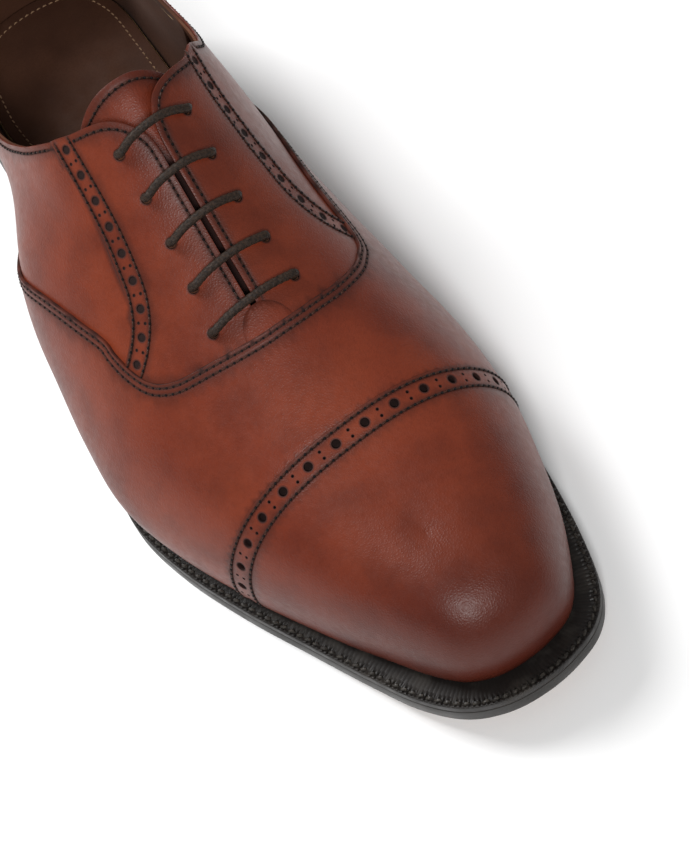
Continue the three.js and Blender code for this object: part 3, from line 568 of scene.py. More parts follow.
def cut_flat(
    loops: Sequence[Points],
    holes: Sequence[Points] = (),
    lines: Sequence[Points] = (),
    grid: float = 2.2,
) -> Mesh:
    """Cuts a flat piece with holes and marked lines into triangles.

    Args:
        loops: outer edges, one closed loop for each separate part.
        holes: closed loops to leave open.
        lines: open lines that become edges.
        grid: distance between the points that fill the piece.

    Returns:
        The flat points and the triangles.
    """
    fixed, edges = [], []
    count = 0
    for loop in list(loops) + list(holes):
        fixed.append(loop)
        edges += [(count + i, count + (i + 1) % len(loop)) for i in range(len(loop))]
        count += len(loop)
    for line in lines:
        fixed.append(line)
        edges += [(count + i, count + i + 1) for i in range(len(line) - 1)]
        count += len(line)
    placed = np.vstack(fixed)
    low, high = placed.min(0), placed.max(0)
    us, vs = np.arange(low[0], high[0], grid), np.arange(low[1], high[1], grid * 0.87)
    u, v = np.meshgrid(us, vs, indexing="ij")
    u = u + (np.arange(len(vs)) % 2)[None] * grid / 2
    fill = np.column_stack([u.ravel(), v.ravel()])
    within = np.zeros(len(fill), bool)
    for loop in loops:
        within |= inside(fill, loop)
    for hole in holes:
        within &= np.linalg.norm(fill - hole.mean(0), axis=1) > 0.1
    fill = fill[within]
    fill = fill[clear_of(fill, placed, 0.42 * grid)]
    every = np.vstack([placed, fill])
    flat_points, _, faces, _, _, _ = delaunay_2d_cdt(
        [Vector(p) for p in every], edges, [], 0, 1e-5, True
    )
    points = np.array([(p.x, p.y) for p in flat_points])
    faces = np.array([f for f in faces if len(f) == 3])
    middle = points[faces].mean(1)
    keep = np.zeros(len(faces), bool)
    for loop in loops:
        keep |= inside(middle, loop)
    for hole in holes:
        near = np.linalg.norm(middle - hole.mean(0), axis=1) < 8
        cut = np.zeros(len(faces), bool)
        cut[near] = inside(middle[near], hole)
        keep &= ~cut
    return points, [tuple(int(i) for i in f) for f in faces[keep]]


# ------------------------------------------------------------------ finishes


class Shader:
    """A material's nodes, added one at a time."""

    def __init__(self, name: str) -> None:
        """Makes an empty material with a principled surface."""
        self.material = bpy.data.materials.new(name)
        self.material.use_nodes = True
        self.tree = self.material.node_tree
        self.surface = self.tree.nodes["Principled BSDF"]
        self.coords = self.add("ShaderNodeTexCoord").outputs["Object"]

    def add(self, kind: str, **values: object) -> bpy.types.Node:
        """Adds a node; values are its properties, or numbers or links for its sockets."""
        node = self.tree.nodes.new(kind)
        for name, value in values.items():
            if hasattr(node, name):
                setattr(node, name, value)
            elif isinstance(value, bpy.types.NodeSocket):
                self.tree.links.new(value, self.socket(node, name))
            else:
                self.socket(node, name).default_value = value
        return node

    @staticmethod
    def socket(node: bpy.types.Node, name: str) -> bpy.types.NodeSocket:
        """The input of a node with a name, written in small letters and underscores."""
        wanted = name.replace("_", " ")
        return next(item for item in node.inputs if item.name.lower() == wanted)

    def link(self, source: bpy.types.NodeSocket, target: bpy.types.NodeSocket) -> None:
        """Joins two sockets."""
        self.tree.links.new(source, target)

    def noise(self, scale: float, detail: float = 2.0) -> bpy.types.NodeSocket:
        """Cloudy noise with features of about 1/scale metres."""
        node = self.add("ShaderNodeTexNoise", vector=self.coords, scale=scale, detail=detail)
        return node.outputs["Fac"]

    def cells(self, scale: float, wander: float = 0.0) -> bpy.types.NodeSocket:
        """Distance inside cells of about 1/scale metres."""
        vector = self.coords
        if wander:
            cloud = self.add("ShaderNodeTexNoise", vector=self.coords, scale=scale * 0.6)
            spread = self.add("ShaderNodeVectorMath", operation="SCALE")
            self.link(cloud.outputs["Color"], spread.inputs[0])
            spread.inputs["Scale"].default_value = wander
            total = self.add("ShaderNodeVectorMath", operation="ADD")
            self.link(self.coords, total.inputs[0])
            self.link(spread.outputs[0], total.inputs[1])
            vector = total.outputs[0]
        node = self.add("ShaderNodeTexVoronoi", vector=vector, scale=scale)
        return node.outputs["Distance"]

    def spread(
        self, value: bpy.types.NodeSocket, low: float, high: float, to_low: float, to_high: float
    ) -> bpy.types.NodeSocket:
        """Maps a value from one range to another, held at both ends."""
        node = self.add("ShaderNodeMapRange")
        self.link(value, node.inputs["Value"])
        for name, number in zip(("From Min", "From Max", "To Min", "To Max"),
                                (low, high, to_low, to_high)):
            node.inputs[name].default_value = number
        return node.outputs["Result"]

    def mix(
        self,
        share: bpy.types.NodeSocket,
        first: bpy.types.NodeSocket | Colour,
        second: bpy.types.NodeSocket | Colour,
    ) -> bpy.types.NodeSocket:
        """Mixes two colours."""
        node = self.tree.nodes.new("ShaderNodeMix")
        node.data_type = "RGBA"
        self.link(share, node.inputs["Factor"])
        for socket, value in ((node.inputs[6], first), (node.inputs[7], second)):
            if isinstance(value, bpy.types.NodeSocket):
                self.link(value, socket)
            else:
                socket.default_value = (*value, 1.0)
        return node.outputs[2]

    def own(self, name: str) -> bpy.types.NodeSocket:
        """A number that the piece's own mesh carries."""
        node = self.tree.nodes.new("ShaderNodeAttribute")
        node.attribute_name = name
        return node.outputs["Fac"]

    def bump(
        self,
        value: bpy.types.NodeSocket,
        strength: float,
        height: float,
        under: bpy.types.NodeSocket | None = None,
    ) -> bpy.types.NodeSocket:
        """Adds a bump of that height in millimetres, on top of another."""
        node = self.add("ShaderNodeBump")
        node.inputs["Strength"].default_value = strength
        node.inputs["Distance"].default_value = height * MM
        self.link(value, node.inputs["Height"])
        if under is not None:
            self.link(under, node.inputs["Normal"])
        return node.outputs["Normal"]

    def finish(
        self,
        colour: bpy.types.NodeSocket,
        roughness: bpy.types.NodeSocket,
        normal: bpy.types.NodeSocket,
        **constants: float,
    ) -> bpy.types.Material:
        """Joins the surface's sockets and sets its constants."""
        self.link(colour, self.surface.inputs["Base Color"])
        self.link(roughness, self.surface.inputs["Roughness"])
        self.link(normal, self.surface.inputs["Normal"])
        for name, value in constants.items():
            self.socket(self.surface, name).default_value = value
        return self.material


@dataclass(frozen=True)
class CalfFinish:
    """Burnished calf: clouded colour, darker toe, inked edges, seams darker partly by finish and
    partly by painted shade, painted shade in holes and under other pieces, fine pebble grain and a
    soft shine.
    """

    name: str = "burnished_calf"
    light: Colour = (0.190, 0.0335, 0.0122)
    mid: Colour = (0.134, 0.0205, 0.0078)
    dark: Colour = (0.036, 0.0045, 0.0024)
    # Colour of the shade attribute: real ink on cut edges and seams, and painted shade in holes,
    # under covering pieces and along the vamp's edge.
    edge_ink_and_shade: Colour = (0.007, 0.003, 0.0025)
    rough: tuple[float, float] = (0.34, 0.44)
    grain: float = 1500.0

    def build(self) -> bpy.types.Material:
        """Makes the material."""
        s = Shader(self.name)
        cloud = s.spread(s.noise(22, 3), 0.35, 0.68, 0, 1)
        colour = s.mix(cloud, self.mid, self.light)
        streak = s.spread(s.noise(75, 4), 0.42, 0.75, 0, 0.38)
        colour = s.mix(streak, colour, self.dark)
        place = s.add("ShaderNodeSeparateXYZ", vector=s.coords)
        toe = s.spread(place.outputs["Y"], -0.080, -0.150, 0, 0.85)
        colour = s.mix(toe, colour, self.dark)
        speck = s.spread(s.noise(900, 2), 0.45, 0.8, 0, 0.16)
        colour = s.mix(speck, colour, self.dark)
        # Darkens by the shade attribute: edge ink plus painted shade.
        colour = s.mix(s.spread(s.own("shade"), 0, 1, 0, 0.97), colour, self.edge_ink_and_shade)
        pebble = s.spread(s.cells(self.grain, 0.0004), 0.0, 0.62, 1, 0)
        normal = s.bump(s.noise(240, 2), 0.16, 0.16)
        normal = s.bump(pebble, 0.50, 0.085, normal)
        normal = s.bump(s.noise(4200, 2), 0.22, 0.03, normal)
        rough = s.spread(s.noise(420, 3), 0.3, 0.7, *self.rough)
        dull = s.add("ShaderNodeMath", operation="MAXIMUM")
        s.link(rough, dull.inputs[0])
        s.link(s.spread(s.own("shade"), 0.3, 1, 0.3, 0.9), dull.inputs[1])
        return s.finish(colour, dull.outputs[0], normal, specular_ior_level=0.29)


@dataclass(frozen=True)
class DullLeatherFinish:
    """Lining, sock, insole or board leather: matt, with pores and rubbed patches."""

    name: str
    light: Colour
    dark: Colour
    rough: tuple[float, float] = (0.62, 0.8)
    nap: float = 0.0
    pore: float = 1700.0

    def build(self) -> bpy.types.Material:
        """Makes the material."""
        s = Shader(self.name)
        cloud = s.spread(s.noise(40, 4), 0.3, 0.7, 0, 1)
        colour = s.mix(cloud, self.dark, self.light)
        fleck = s.spread(s.noise(1300, 2), 0.4, 0.75, 0, 0.35)
        colour = s.mix(fleck, colour, self.dark)
        colour = s.mix(s.spread(s.own("shade"), 0, 1, 0, 0.8), colour, (0.01, 0.006, 0.004))
        normal = s.bump(s.noise(300, 3), 0.25, 0.25)
        normal = s.bump(s.cells(self.pore, 0.0003), 0.35, 0.06, normal)
        rough = s.spread(s.noise(200, 3), 0.3, 0.7, *self.rough)
        return s.finish(colour, rough, normal, sheen_weight=self.nap, specular_ior_level=0.18)


@dataclass(frozen=True)
class SoleEdgeFinish:
    """Inked and waxed leather edge: nearly black, with faint layers and scuffs."""

    name: str
    ink: Colour = (0.009, 0.0075, 0.0066)
    scuff: Colour = (0.034, 0.028, 0.023)
    rough: tuple[float, float] = (0.30, 0.52)
    layers: float = 900.0

    def build(self) -> bpy.types.Material:
        """Makes the material."""
        s = Shader(self.name)
        worn = s.spread(s.noise(130, 5), 0.48, 0.8, 0, 0.6)
        colour = s.mix(worn, self.ink, self.scuff)
        place = s.add("ShaderNodeSeparateXYZ", vector=s.coords)
        stretch = s.add("ShaderNodeCombineXYZ")
        for axis, scale in (("X", 60.0), ("Y", 60.0), ("Z", self.layers)):
            part = s.add("ShaderNodeMath", operation="MULTIPLY")
            s.link(place.outputs[axis], part.inputs[0])
            part.inputs[1].default_value = scale
            s.link(part.outputs[0], stretch.inputs[axis])
        fibre = s.add("ShaderNodeTexNoise", scale=1.0, detail=3.0)
        s.link(stretch.outputs[0], fibre.inputs["Vector"])
        normal = s.bump(fibre.outputs["Fac"], 0.22, 0.12)
        normal = s.bump(s.noise(700, 3), 0.25, 0.05, normal)
        rough = s.spread(s.noise(260, 3), 0.3, 0.7, *self.rough)
        return s.finish(colour, rough, normal, specular_ior_level=0.26)


@dataclass(frozen=True)
class SoleFaceFinish:
    """Tanned sole leather underneath: brown in clouds, with fine flecks, an inked rim and varied
    roughness.
    """

    name: str = "sole_face"
    light: Colour = (0.36, 0.19, 0.085)
    dark: Colour = (0.20, 0.095, 0.042)
    edge: Colour = (0.016, 0.014, 0.012)

    def build(self) -> bpy.types.Material:
        """Makes the material."""
        s = Shader(self.name)
        colour = s.mix(s.spread(s.noise(35, 5), 0.3, 0.7, 0, 1), self.dark, self.light)
        colour = s.mix(s.spread(s.noise(1100, 3), 0.42, 0.7, 0, 0.3), colour, self.dark)
        colour = s.mix(s.own("shade"), colour, self.edge)
        normal = s.bump(s.noise(500, 4), 0.3, 0.09)
        rough = s.spread(s.noise(90, 4), 0.3, 0.7, 0.38, 0.6)
        return s.finish(colour, rough, normal)


@dataclass(frozen=True)
class ThreadFinish:
    """Waxed thread or lace: twisted strands with a dull wax shine."""

    name: str
    light: Colour
    dark: Colour
    rough: tuple[float, float] = (0.42, 0.62)

    def build(self) -> bpy.types.Material:
        """Makes the material."""
        s = Shader(self.name)
        colour = s.mix(s.spread(s.noise(1500, 3), 0.35, 0.7, 0, 1), self.dark, self.light)
        normal = s.bump(s.noise(4500, 2), 0.45, 0.07)
        rough = s.spread(s.noise(900, 2), 0.3, 0.7, *self.rough)
        return s.finish(colour, rough, normal, specular_ior_level=0.22)


@dataclass(frozen=True)
class MetalFinish:
    """Plain metal of the eyelets and the shank, with fine drawing marks."""

    name: str
    light: Colour
    dark: Colour

    def build(self) -> bpy.types.Material:
        """Makes the material."""
        s = Shader(self.name)
        colour = s.mix(s.spread(s.noise(300, 4), 0.4, 0.7, 0, 1), self.light, self.dark)
        normal = s.bump(s.noise(1800, 3), 0.2, 0.03)
        rough = s.spread(s.noise(500, 3), 0.3, 0.7, 0.28, 0.5)
        return s.finish(colour, rough, normal, metallic=1.0)


@dataclass(frozen=True)
class GrainyFinish:
    """Rubber, cork or plastic: a base colour with specks and a moulded grain."""

    name: str
    light: Colour
    dark: Colour
    speck: float
    rough: tuple[float, float]
    depth: float = 0.1

    def build(self) -> bpy.types.Material:
        """Makes the material."""
        s = Shader(self.name)
        colour = s.mix(s.spread(s.cells(self.speck, 0.0005), 0.1, 0.6, 0, 1), self.light, self.dark)
        colour = s.mix(s.spread(s.noise(60, 4), 0.45, 0.8, 0, 0.4), colour, self.dark)
        normal = s.bump(s.noise(self.speck * 1.6, 3), 0.4, self.depth)
        rough = s.spread(s.noise(150, 3), 0.3, 0.7, *self.rough)
        return s.finish(colour, rough, normal)


class Finishes:
    """All the finishes of the shoe, each made once."""

    def __init__(self) -> None:
        """Makes the materials."""
        tan = DullLeatherFinish
        self.calf = CalfFinish().build()
        self.lining = tan("lining", (0.135, 0.052, 0.026), (0.075, 0.027, 0.014)).build()
        self.heel_grip = tan("heel_grip", (0.100, 0.040, 0.021), (0.055, 0.021, 0.011),
                             (0.8, 0.95), 0.02, 2600.0).build()
        self.sock = tan("sock_leather", (0.082, 0.034, 0.019), (0.046, 0.018, 0.010)).build()
        self.board = tan("stiffener_board", (0.50, 0.36, 0.20), (0.36, 0.24, 0.13)).build()
        self.insole = tan("insole_leather", (0.46, 0.30, 0.16), (0.34, 0.21, 0.11)).build()
        self.edge = SoleEdgeFinish("inked_edge").build()
        self.welt = SoleEdgeFinish("wheeled_welt", (0.012, 0.010, 0.009), (0.05, 0.043, 0.036),
                                   (0.36, 0.58), 300.0).build()
        self.sole = SoleFaceFinish().build()
        self.rubber = GrainyFinish("heel_rubber", (0.030, 0.029, 0.028), (0.016, 0.016, 0.016),
                                   900.0, (0.6, 0.8), 0.12).build()
        self.cork = GrainyFinish("ground_cork", (0.42, 0.25, 0.13), (0.18, 0.10, 0.05), 500.0,
                                 (0.8, 0.95), 0.4).build()
        self.tip = GrainyFinish("lace_tip", (0.035, 0.022, 0.016), (0.020, 0.013, 0.010), 300.0,
                                (0.22, 0.34), 0.02).build()
        self.seam = ThreadFinish("seam_thread", (0.060, 0.022, 0.013), (0.020, 0.008, 0.005)).build()
        # Near-black blobs at the needle holes: painted shade in the holes, not thread.
        self.needle_hole_shade = ThreadFinish("painted_needle_hole_shade", (0.006, 0.004, 0.004), (0.003, 0.002, 0.002),
                                     (0.7, 0.9)).build()
        self.welt_thread = ThreadFinish("welt_thread", (0.055, 0.048, 0.040),
                                        (0.012, 0.010, 0.009), (0.3, 0.45)).build()
        self.pale_thread = ThreadFinish("pale_thread", (0.36, 0.22, 0.13), (0.24, 0.14, 0.08)).build()
        self.lace = ThreadFinish("waxed_lace", (0.036, 0.020, 0.012), (0.010, 0.006, 0.004),
                                 (0.50, 0.70)).build()
        self.steel = MetalFinish("shank_steel", (0.55, 0.56, 0.57), (0.36, 0.36, 0.37)).build()
        self.brass = MetalFinish("eyelet_brass", (0.44, 0.34, 0.17), (0.24, 0.17, 0.08)).build()


# ------------------------------------------------------------------ making pieces

FINE_WELD = 0.001
GUIDE_SHIFTS, GUIDE_STEP = (-0.75, 0.0, 0.75), 1.2
SEAM_DIP, SEAM_DIP_REACH, DIMPLE_REACH = 0.22, 0.55, 1.6
# Seams are darkened partly as dark finishing and partly as painted shade in their stitch grooves.
SEAM_INK_AND_SHADE_REACH, SEAM_HALO, SEAM_HALO_REACH = 0.8, 0.16, 3.0
# The dark ring round each punched hole is painted shade in the hole.
EDGE_INK_AND_SHADE_REACH, HOLE_SHADE, HOLE_SHADE_REACH = 0.5, 0.95, 0.2
WIDE_HOLE, WIDE_HOLE_SIDES, WIDE_HOLE_GUARD = 0.8, 16, 0.7
FINE_HOLE_SIDES, FINE_HOLE_GUARD = 10, 0.3


def deselect() -> None:
    """Leaves nothing selected."""
    for item in bpy.context.view_layer.objects:
        item.select_set(False)


def activate(piece: bpy.types.Object) -> None:
    """Selects one piece alone and makes it active."""
    deselect()
    piece.select_set(True)
    bpy.context.view_layer.objects.active = piece


def new_piece(name: str, points: Points, faces: Sequence[Sequence[int]]) -> bpy.types.Object:
    """Makes a mesh piece from axis-frame points.

    Args:
        name: the piece's name.
        points: its vertices, in axis-frame millimetres.
        faces: its faces, as vertex numbers.

    Returns:
        The piece, linked to the scene.
    """
    mesh = bpy.data.meshes.new(name)
    mesh.from_pydata([tuple(p) for p in to_row(points)], [], [tuple(f) for f in faces])
    mesh.update()
    piece = bpy.data.objects.new(name, mesh)
    bpy.context.scene.collection.objects.link(piece)
    return piece


def edit(piece: bpy.types.Object, *steps: Callable[[], object]) -> None:
    """Runs edit-mode operators on the whole of a piece."""
    activate(piece)
    bpy.ops.object.mode_set(mode="EDIT")
    bpy.ops.mesh.select_all(action="SELECT")
    for step in steps:
        step()
    bpy.ops.object.mode_set(mode="OBJECT")


def weld(piece: bpy.types.Object, reach: float = 0.02) -> None:
    """Merges doubled points and turns the faces outwards."""
    edit(
        piece,
        lambda: bpy.ops.mesh.remove_doubles(threshold=reach * MM),
        lambda: bpy.ops.mesh.normals_make_consistent(inside=False),
    )


def apply_all(piece: bpy.types.Object) -> None:
    """Applies every modifier of a piece."""
    activate(piece)
    for modifier in list(piece.modifiers):
        bpy.ops.object.modifier_apply(modifier=modifier.name)


def round_edges(piece: bpy.types.Object, width: float, angle: float = 50.0) -> None:
    """Rounds the sharp edges of a piece and smooths the rest."""
    if width > 0:
        bevel = piece.modifiers.new("round", "BEVEL")
        bevel.width = width * MM
        bevel.segments = 2
        bevel.limit_method = "ANGLE"
        bevel.angle_limit = math.radians(angle)
        apply_all(piece)
    activate(piece)
    bpy.ops.object.shade_smooth_by_angle(angle=math.radians(42))


def dress(
    piece: bpy.types.Object,
    material: bpy.types.Material,
    body: Body = Body.SHOE,
    nodes: Sequence[str] = (),
) -> bpy.types.Object:
    """Gives a piece its finish and its body, and hides the CAD nodes that it stands for.

    Args:
        piece: the finished piece.
        material: its finish.
        body: the body it rides on.
        nodes: CAD nodes that it replaces.

    Returns:
        The piece.
    """
    piece.data.materials.clear()
    piece.data.materials.append(material)
    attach(piece, body.value)
    if nodes:
        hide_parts(*nodes)
    LOG.info("%s: %d faces", piece.name, len(piece.data.polygons))
    return piece


def fine_piece(
    name: str, mesh: Mesh, material: bpy.types.Material,
    body: Body = Body.SHOE, nodes: Sequence[str] = (),
) -> bpy.types.Object:
    """Makes, closes, smooths and dresses a piece of thread or cord, which takes no bevel."""
    piece = new_piece(name, *mesh)
    weld(piece, FINE_WELD)
    round_edges(piece, 0)
    return dress(piece, material, body, nodes)


def carry_shade(piece: bpy.types.Object, shade: Points) -> None:
    """Stores how dark each point of a piece is, for its finish to read."""
    own = piece.data.attributes.new("shade", "FLOAT", "POINT")
    own.data.foreach_set("value", shade.astype(np.float32))


@dataclass
class Seam:
    """A sewn line: its run on the pattern, the layer it lies on and its thread."""

    line: Points
    depth: float = 0.0
    pitch: float = 2.4
    radius: float = 0.27
    length: float = 1.75

    def run(self, step: float = 0.5) -> tuple[Points, Points]:
        """Points and outward directions along the seam."""
        pattern = spaced(self.line, step)
        t, a = unflat(pattern)
        return LAST.point(t, a, self.depth), LAST.normal(t, a)


def stitch_mesh(
    runs: Sequence[tuple[Points, Points]], pitch: float, length: float, radius: float,
    lean: float = 0.12, lift: float = 0.0, phase: float = 0.5,
) -> Mesh:
    """Makes a row of stitches along each run.

    Args:
        runs: points and outward directions along each row.
        pitch: distance from one stitch to the next.
        length: length of a stitch.
        radius: half its thickness.
        lean: sideways tilt of each stitch, as a slope.
        lift: height of its middle over the run.
        phase: where the first stitch's middle is, in stitches from the start.

    Returns:
        Vertices and faces of all the stitches.
    """
    sides = 6
    shape = [(-0.5, 0.35, -0.9), (-0.33, 0.9, -0.1), (0.0, 1.0, 0.25), (0.33, 0.9, -0.1),
             (0.5, 0.35, -0.9)]
    turn = np.linspace(0, 2 * np.pi, sides, endpoint=False)
    points, faces = [], []
    for line, up in runs:
        run = run_along(line)
        count = int(run[-1] / pitch)
        for k in range(count):
            at = (k + phase) * run[-1] / count
            centre = sample(line, run, at)
            ahead, behind = sample(line, run, at + 0.3), sample(line, run, at - 0.3)
            rise = unit(sample(up, run, at))
            along = unit(ahead - behind)
            aside = np.cross(rise, along)
            along = unit(along + lean * aside)
            aside = np.cross(rise, along)
            base = len(points)
            for share, size, drop in shape:
                middle = centre + along * share * length + rise * (lift + drop * radius)
                for angle in turn:
                    ring = aside * math.cos(angle) + rise * math.sin(angle)
                    points.append(middle + ring * radius * size)
            for ring in range(len(shape) - 1):
                for j in range(sides):
                    a, b = base + ring * sides + j, base + ring * sides + (j + 1) % sides
                    faces.append((a, b, b + sides, a + sides))
            faces.append(tuple(base + j for j in reversed(range(sides))))
            top = base + (len(shape) - 1) * sides
            faces.append(tuple(top + j for j in range(sides)))
    return np.array(points), faces


def sew(
    name: str, seams: Sequence[Seam], material: bpy.types.Material,
    body: Body = Body.SHOE, ends: bool = False,
) -> bpy.types.Object:
    """Sews seams of one thread and makes them one piece.

    Args:
        name: the piece's name.
        seams: the seams.
        material: the thread's finish.
        body: the body it rides on.
        ends: whether to make, in place of the stitches, near-black blobs between them that paint the
            shade in the needle holes.

    Returns:
        The piece.
    """
    points, faces, count = [], [], 0
    for seam in seams:
        # With ends, dark blobs between the stitches paint the shade in the needle holes.
        if ends:
            got, shape = stitch_mesh([seam.run()], seam.pitch, 0.95, 0.42, 0.5, -0.06, 1.0)
        else:
            got, shape = stitch_mesh([seam.run()], seam.pitch, seam.length, seam.radius)
        points.append(got)
        faces += [tuple(i + count for i in f) for f in shape]
        count += len(got)
    return fine_piece(name, (np.vstack(points), faces), material, body)


@dataclass
class Panel:
    """A piece of leather: cut flat, punched, laid over the last and given its thickness."""

    name: str
    loops: list[Points]
    depth: Callable[[Points], Points] | float
    thickness: float
    seams: list[Seam] = field(default_factory=list)
    holes: list[tuple[Points, float]] = field(default_factory=list)
    dimple: float = 0.0
    edge_round: float = 0.3
    edge_ink_and_shade: float = 0.55
    seam_ink_and_shade: float = 0.8
    # How dark each point is painted as shade where another piece covers or meets the panel.
    painted_shade: Callable[[Points], Points] | None = None
    grid: float = 2.2

    def mesh(self) -> bpy.types.Object:
        """Cuts the panel and makes its solid shape."""
        loops = self.loops
        rings, guards, marks = [], [], []
        for centre, radius in self.holes:
            wide = radius > WIDE_HOLE
            sides = WIDE_HOLE_SIDES if wide else FINE_HOLE_SIDES
            reach = WIDE_HOLE_GUARD if wide else FINE_HOLE_GUARD
            rings.append(ring_at(centre, radius, sides))
            guards.append(ring_at(centre, radius + reach, sides))
        for seam in self.seams:
            for shift in GUIDE_SHIFTS:
                line = seam.line if shift == 0 else offset(seam.line, shift)
                line = spaced(line, GUIDE_STEP)
                keep = np.zeros(len(line), bool)
                for loop in loops:
                    keep |= inside(line, loop)
                keep &= clear_of(line, np.vstack(loops), 0.35)
                marks += [part for part in self._stretches(line, keep) if len(part) > 2]
        lines = marks + [np.vstack([guard, guard[:1]]) for guard in guards]
        points, faces = cut_flat(loops, rings, lines, self.grid)
        t, a = unflat(points)
        place = LAST.point(t, a)
        deep = self.depth(place) if callable(self.depth) else np.full(len(t), self.depth)
        seam_gap = Panel.gap(place, [LAST.point(*unflat(spaced(s.line, 0.4))) for s in self.seams])
        edge_gap = Panel.gap(place, [self._cut_edge(loop) for loop in loops])
        hole_gap = Panel.gap(place, [LAST.point(*unflat(ring)) for ring in rings])
        deep = deep + SEAM_DIP * np.exp(-((seam_gap / SEAM_DIP_REACH) ** 2))
        deep = deep + self.dimple * np.exp(-((hole_gap / DIMPLE_REACH) ** 2))
        # Darkening along seams: partly dark finishing, partly painted shade in the stitch grooves.
        halo = SEAM_HALO * np.exp(-seam_gap / SEAM_HALO_REACH)
        shade = self.seam_ink_and_shade * np.exp(-((seam_gap / SEAM_INK_AND_SHADE_REACH) ** 2)) + halo
        # Ink along cut edges; on the vamp this is partly a painted shadow line.
        shade = np.maximum(shade, self.edge_ink_and_shade * np.exp(-edge_gap / EDGE_INK_AND_SHADE_REACH))
        # Painted shade at the rim of each punched hole.
        shade = np.maximum(shade, HOLE_SHADE * np.exp(-((hole_gap / HOLE_SHADE_REACH) ** 2)))
        # Painted shade where another piece covers or meets this panel.
        if self.painted_shade is not None:
            shade = np.maximum(shade, self.painted_shade(place))
        piece = new_piece(self.name, LAST.point(t, a, deep), faces)
        carry_shade(piece, np.clip(shade, 0, 1))
        weld(piece)
        self._face_out(piece)
        wall = piece.modifiers.new("wall", "SOLIDIFY")
        wall.thickness = self.thickness * MM
        wall.offset = -1.0
        wall.use_rim = True
        apply_all(piece)
        round_edges(piece, self.edge_round)
        return piece

    @staticmethod
    def _cut_edge(loop: Points) -> Points:
        """The loop's edge where the leather is really cut, without its folds at toe and heel."""
        t, a = unflat(spaced(loop, 0.5, True))
        real = (t > 0.002) & (t < 0.998)
        return LAST.point(t[real], a[real])

    @staticmethod
    def _stretches(line: Points, keep: Points) -> list[Points]:
        """Splits a line into the stretches that are kept."""
        parts, current = [], []
        for point, wanted in zip(line, keep):
            if wanted:
                current.append(point)
            elif current:
                parts.append(np.array(current))
                current = []
        if current:
            parts.append(np.array(current))
        return parts

    @staticmethod
    def gap(place: Points, lines: list[Points]) -> Points:
        """Distance of each point to the nearest of some lines."""
        if not lines:
            return np.full(len(place), 99.0)
        every = np.vstack(lines)
        tree = KDTree(len(every))
        for i, p in enumerate(every):
            tree.insert(p, i)
        tree.balance()
        return np.array([tree.find(p)[2] for p in place])

    @staticmethod
    def _face_out(piece: bpy.types.Object) -> None:
        """Turns an open panel's faces away from the inside of the shoe."""
        total = 0.0
        centre = Vector(to_row(np.array([[0.0, 0.0, 30.0]]))[0])
        for face in piece.data.polygons:
            away = face.center - Vector((centre.x, face.center.y * 0.8, centre.z))
            total += face.normal.dot(away) * face.area
        if total < 0:
            edit(piece, lambda: bpy.ops.mesh.flip_normals())


def punches(line: Points, pitch: float, start: float, big: float, small: float,
            across: float) -> list[tuple[Points, float]]:
    """Punched border: big holes along a line, with a pair of small ones between each two.

    Args:
        line: the border's centre on the pattern.
        pitch: distance from one big hole to the next.
        start: distance of the first big hole from the line's start.
        big: radius of a big hole.
        small: radius of a small one.
        across: how far each small hole lies from the centre.

    Returns:
        Centre and radius of each hole.
    """
    pattern = spaced(line, 0.5)
    true = surface(pattern)
    run = run_along(true)
    left, right = offset(pattern, across), offset(pattern, -across)

    holes = []
    where = start
    while where < run[-1] - 1.5:
        holes.append((sample(pattern, run, where), big))
        middle = where + pitch / 2
        if middle < run[-1] - 1.0:
            holes += [(sample(edge, run, middle), small) for edge in (left, right)]
        where += pitch
    return holes


def loop_of(*lines: Points, step: float = 1.4) -> Points:
    """Joins lines end to end into one closed loop with even steps on each."""
    parts = [spaced(line, step) for line in lines]
    whole = np.vstack(parts)
    keep = np.linalg.norm(whole - np.roll(whole, 1, 0), axis=1) > 0.15
    return whole[keep]


def fold_line(t: float, a_from: float, a_to: float) -> Points:
    """A line across the pattern at one t."""
    a = np.linspace(a_from, a_to, 60)
    return flat(np.full(len(a), t), a)


def toe_fold() -> list[Points]:
    """The line over the toe where a piece's two halves meet."""
    return [fold_line(0.0, 1, 0), fold_line(0.0, 0, -1)]


# ------------------------------------------------------------------ upper


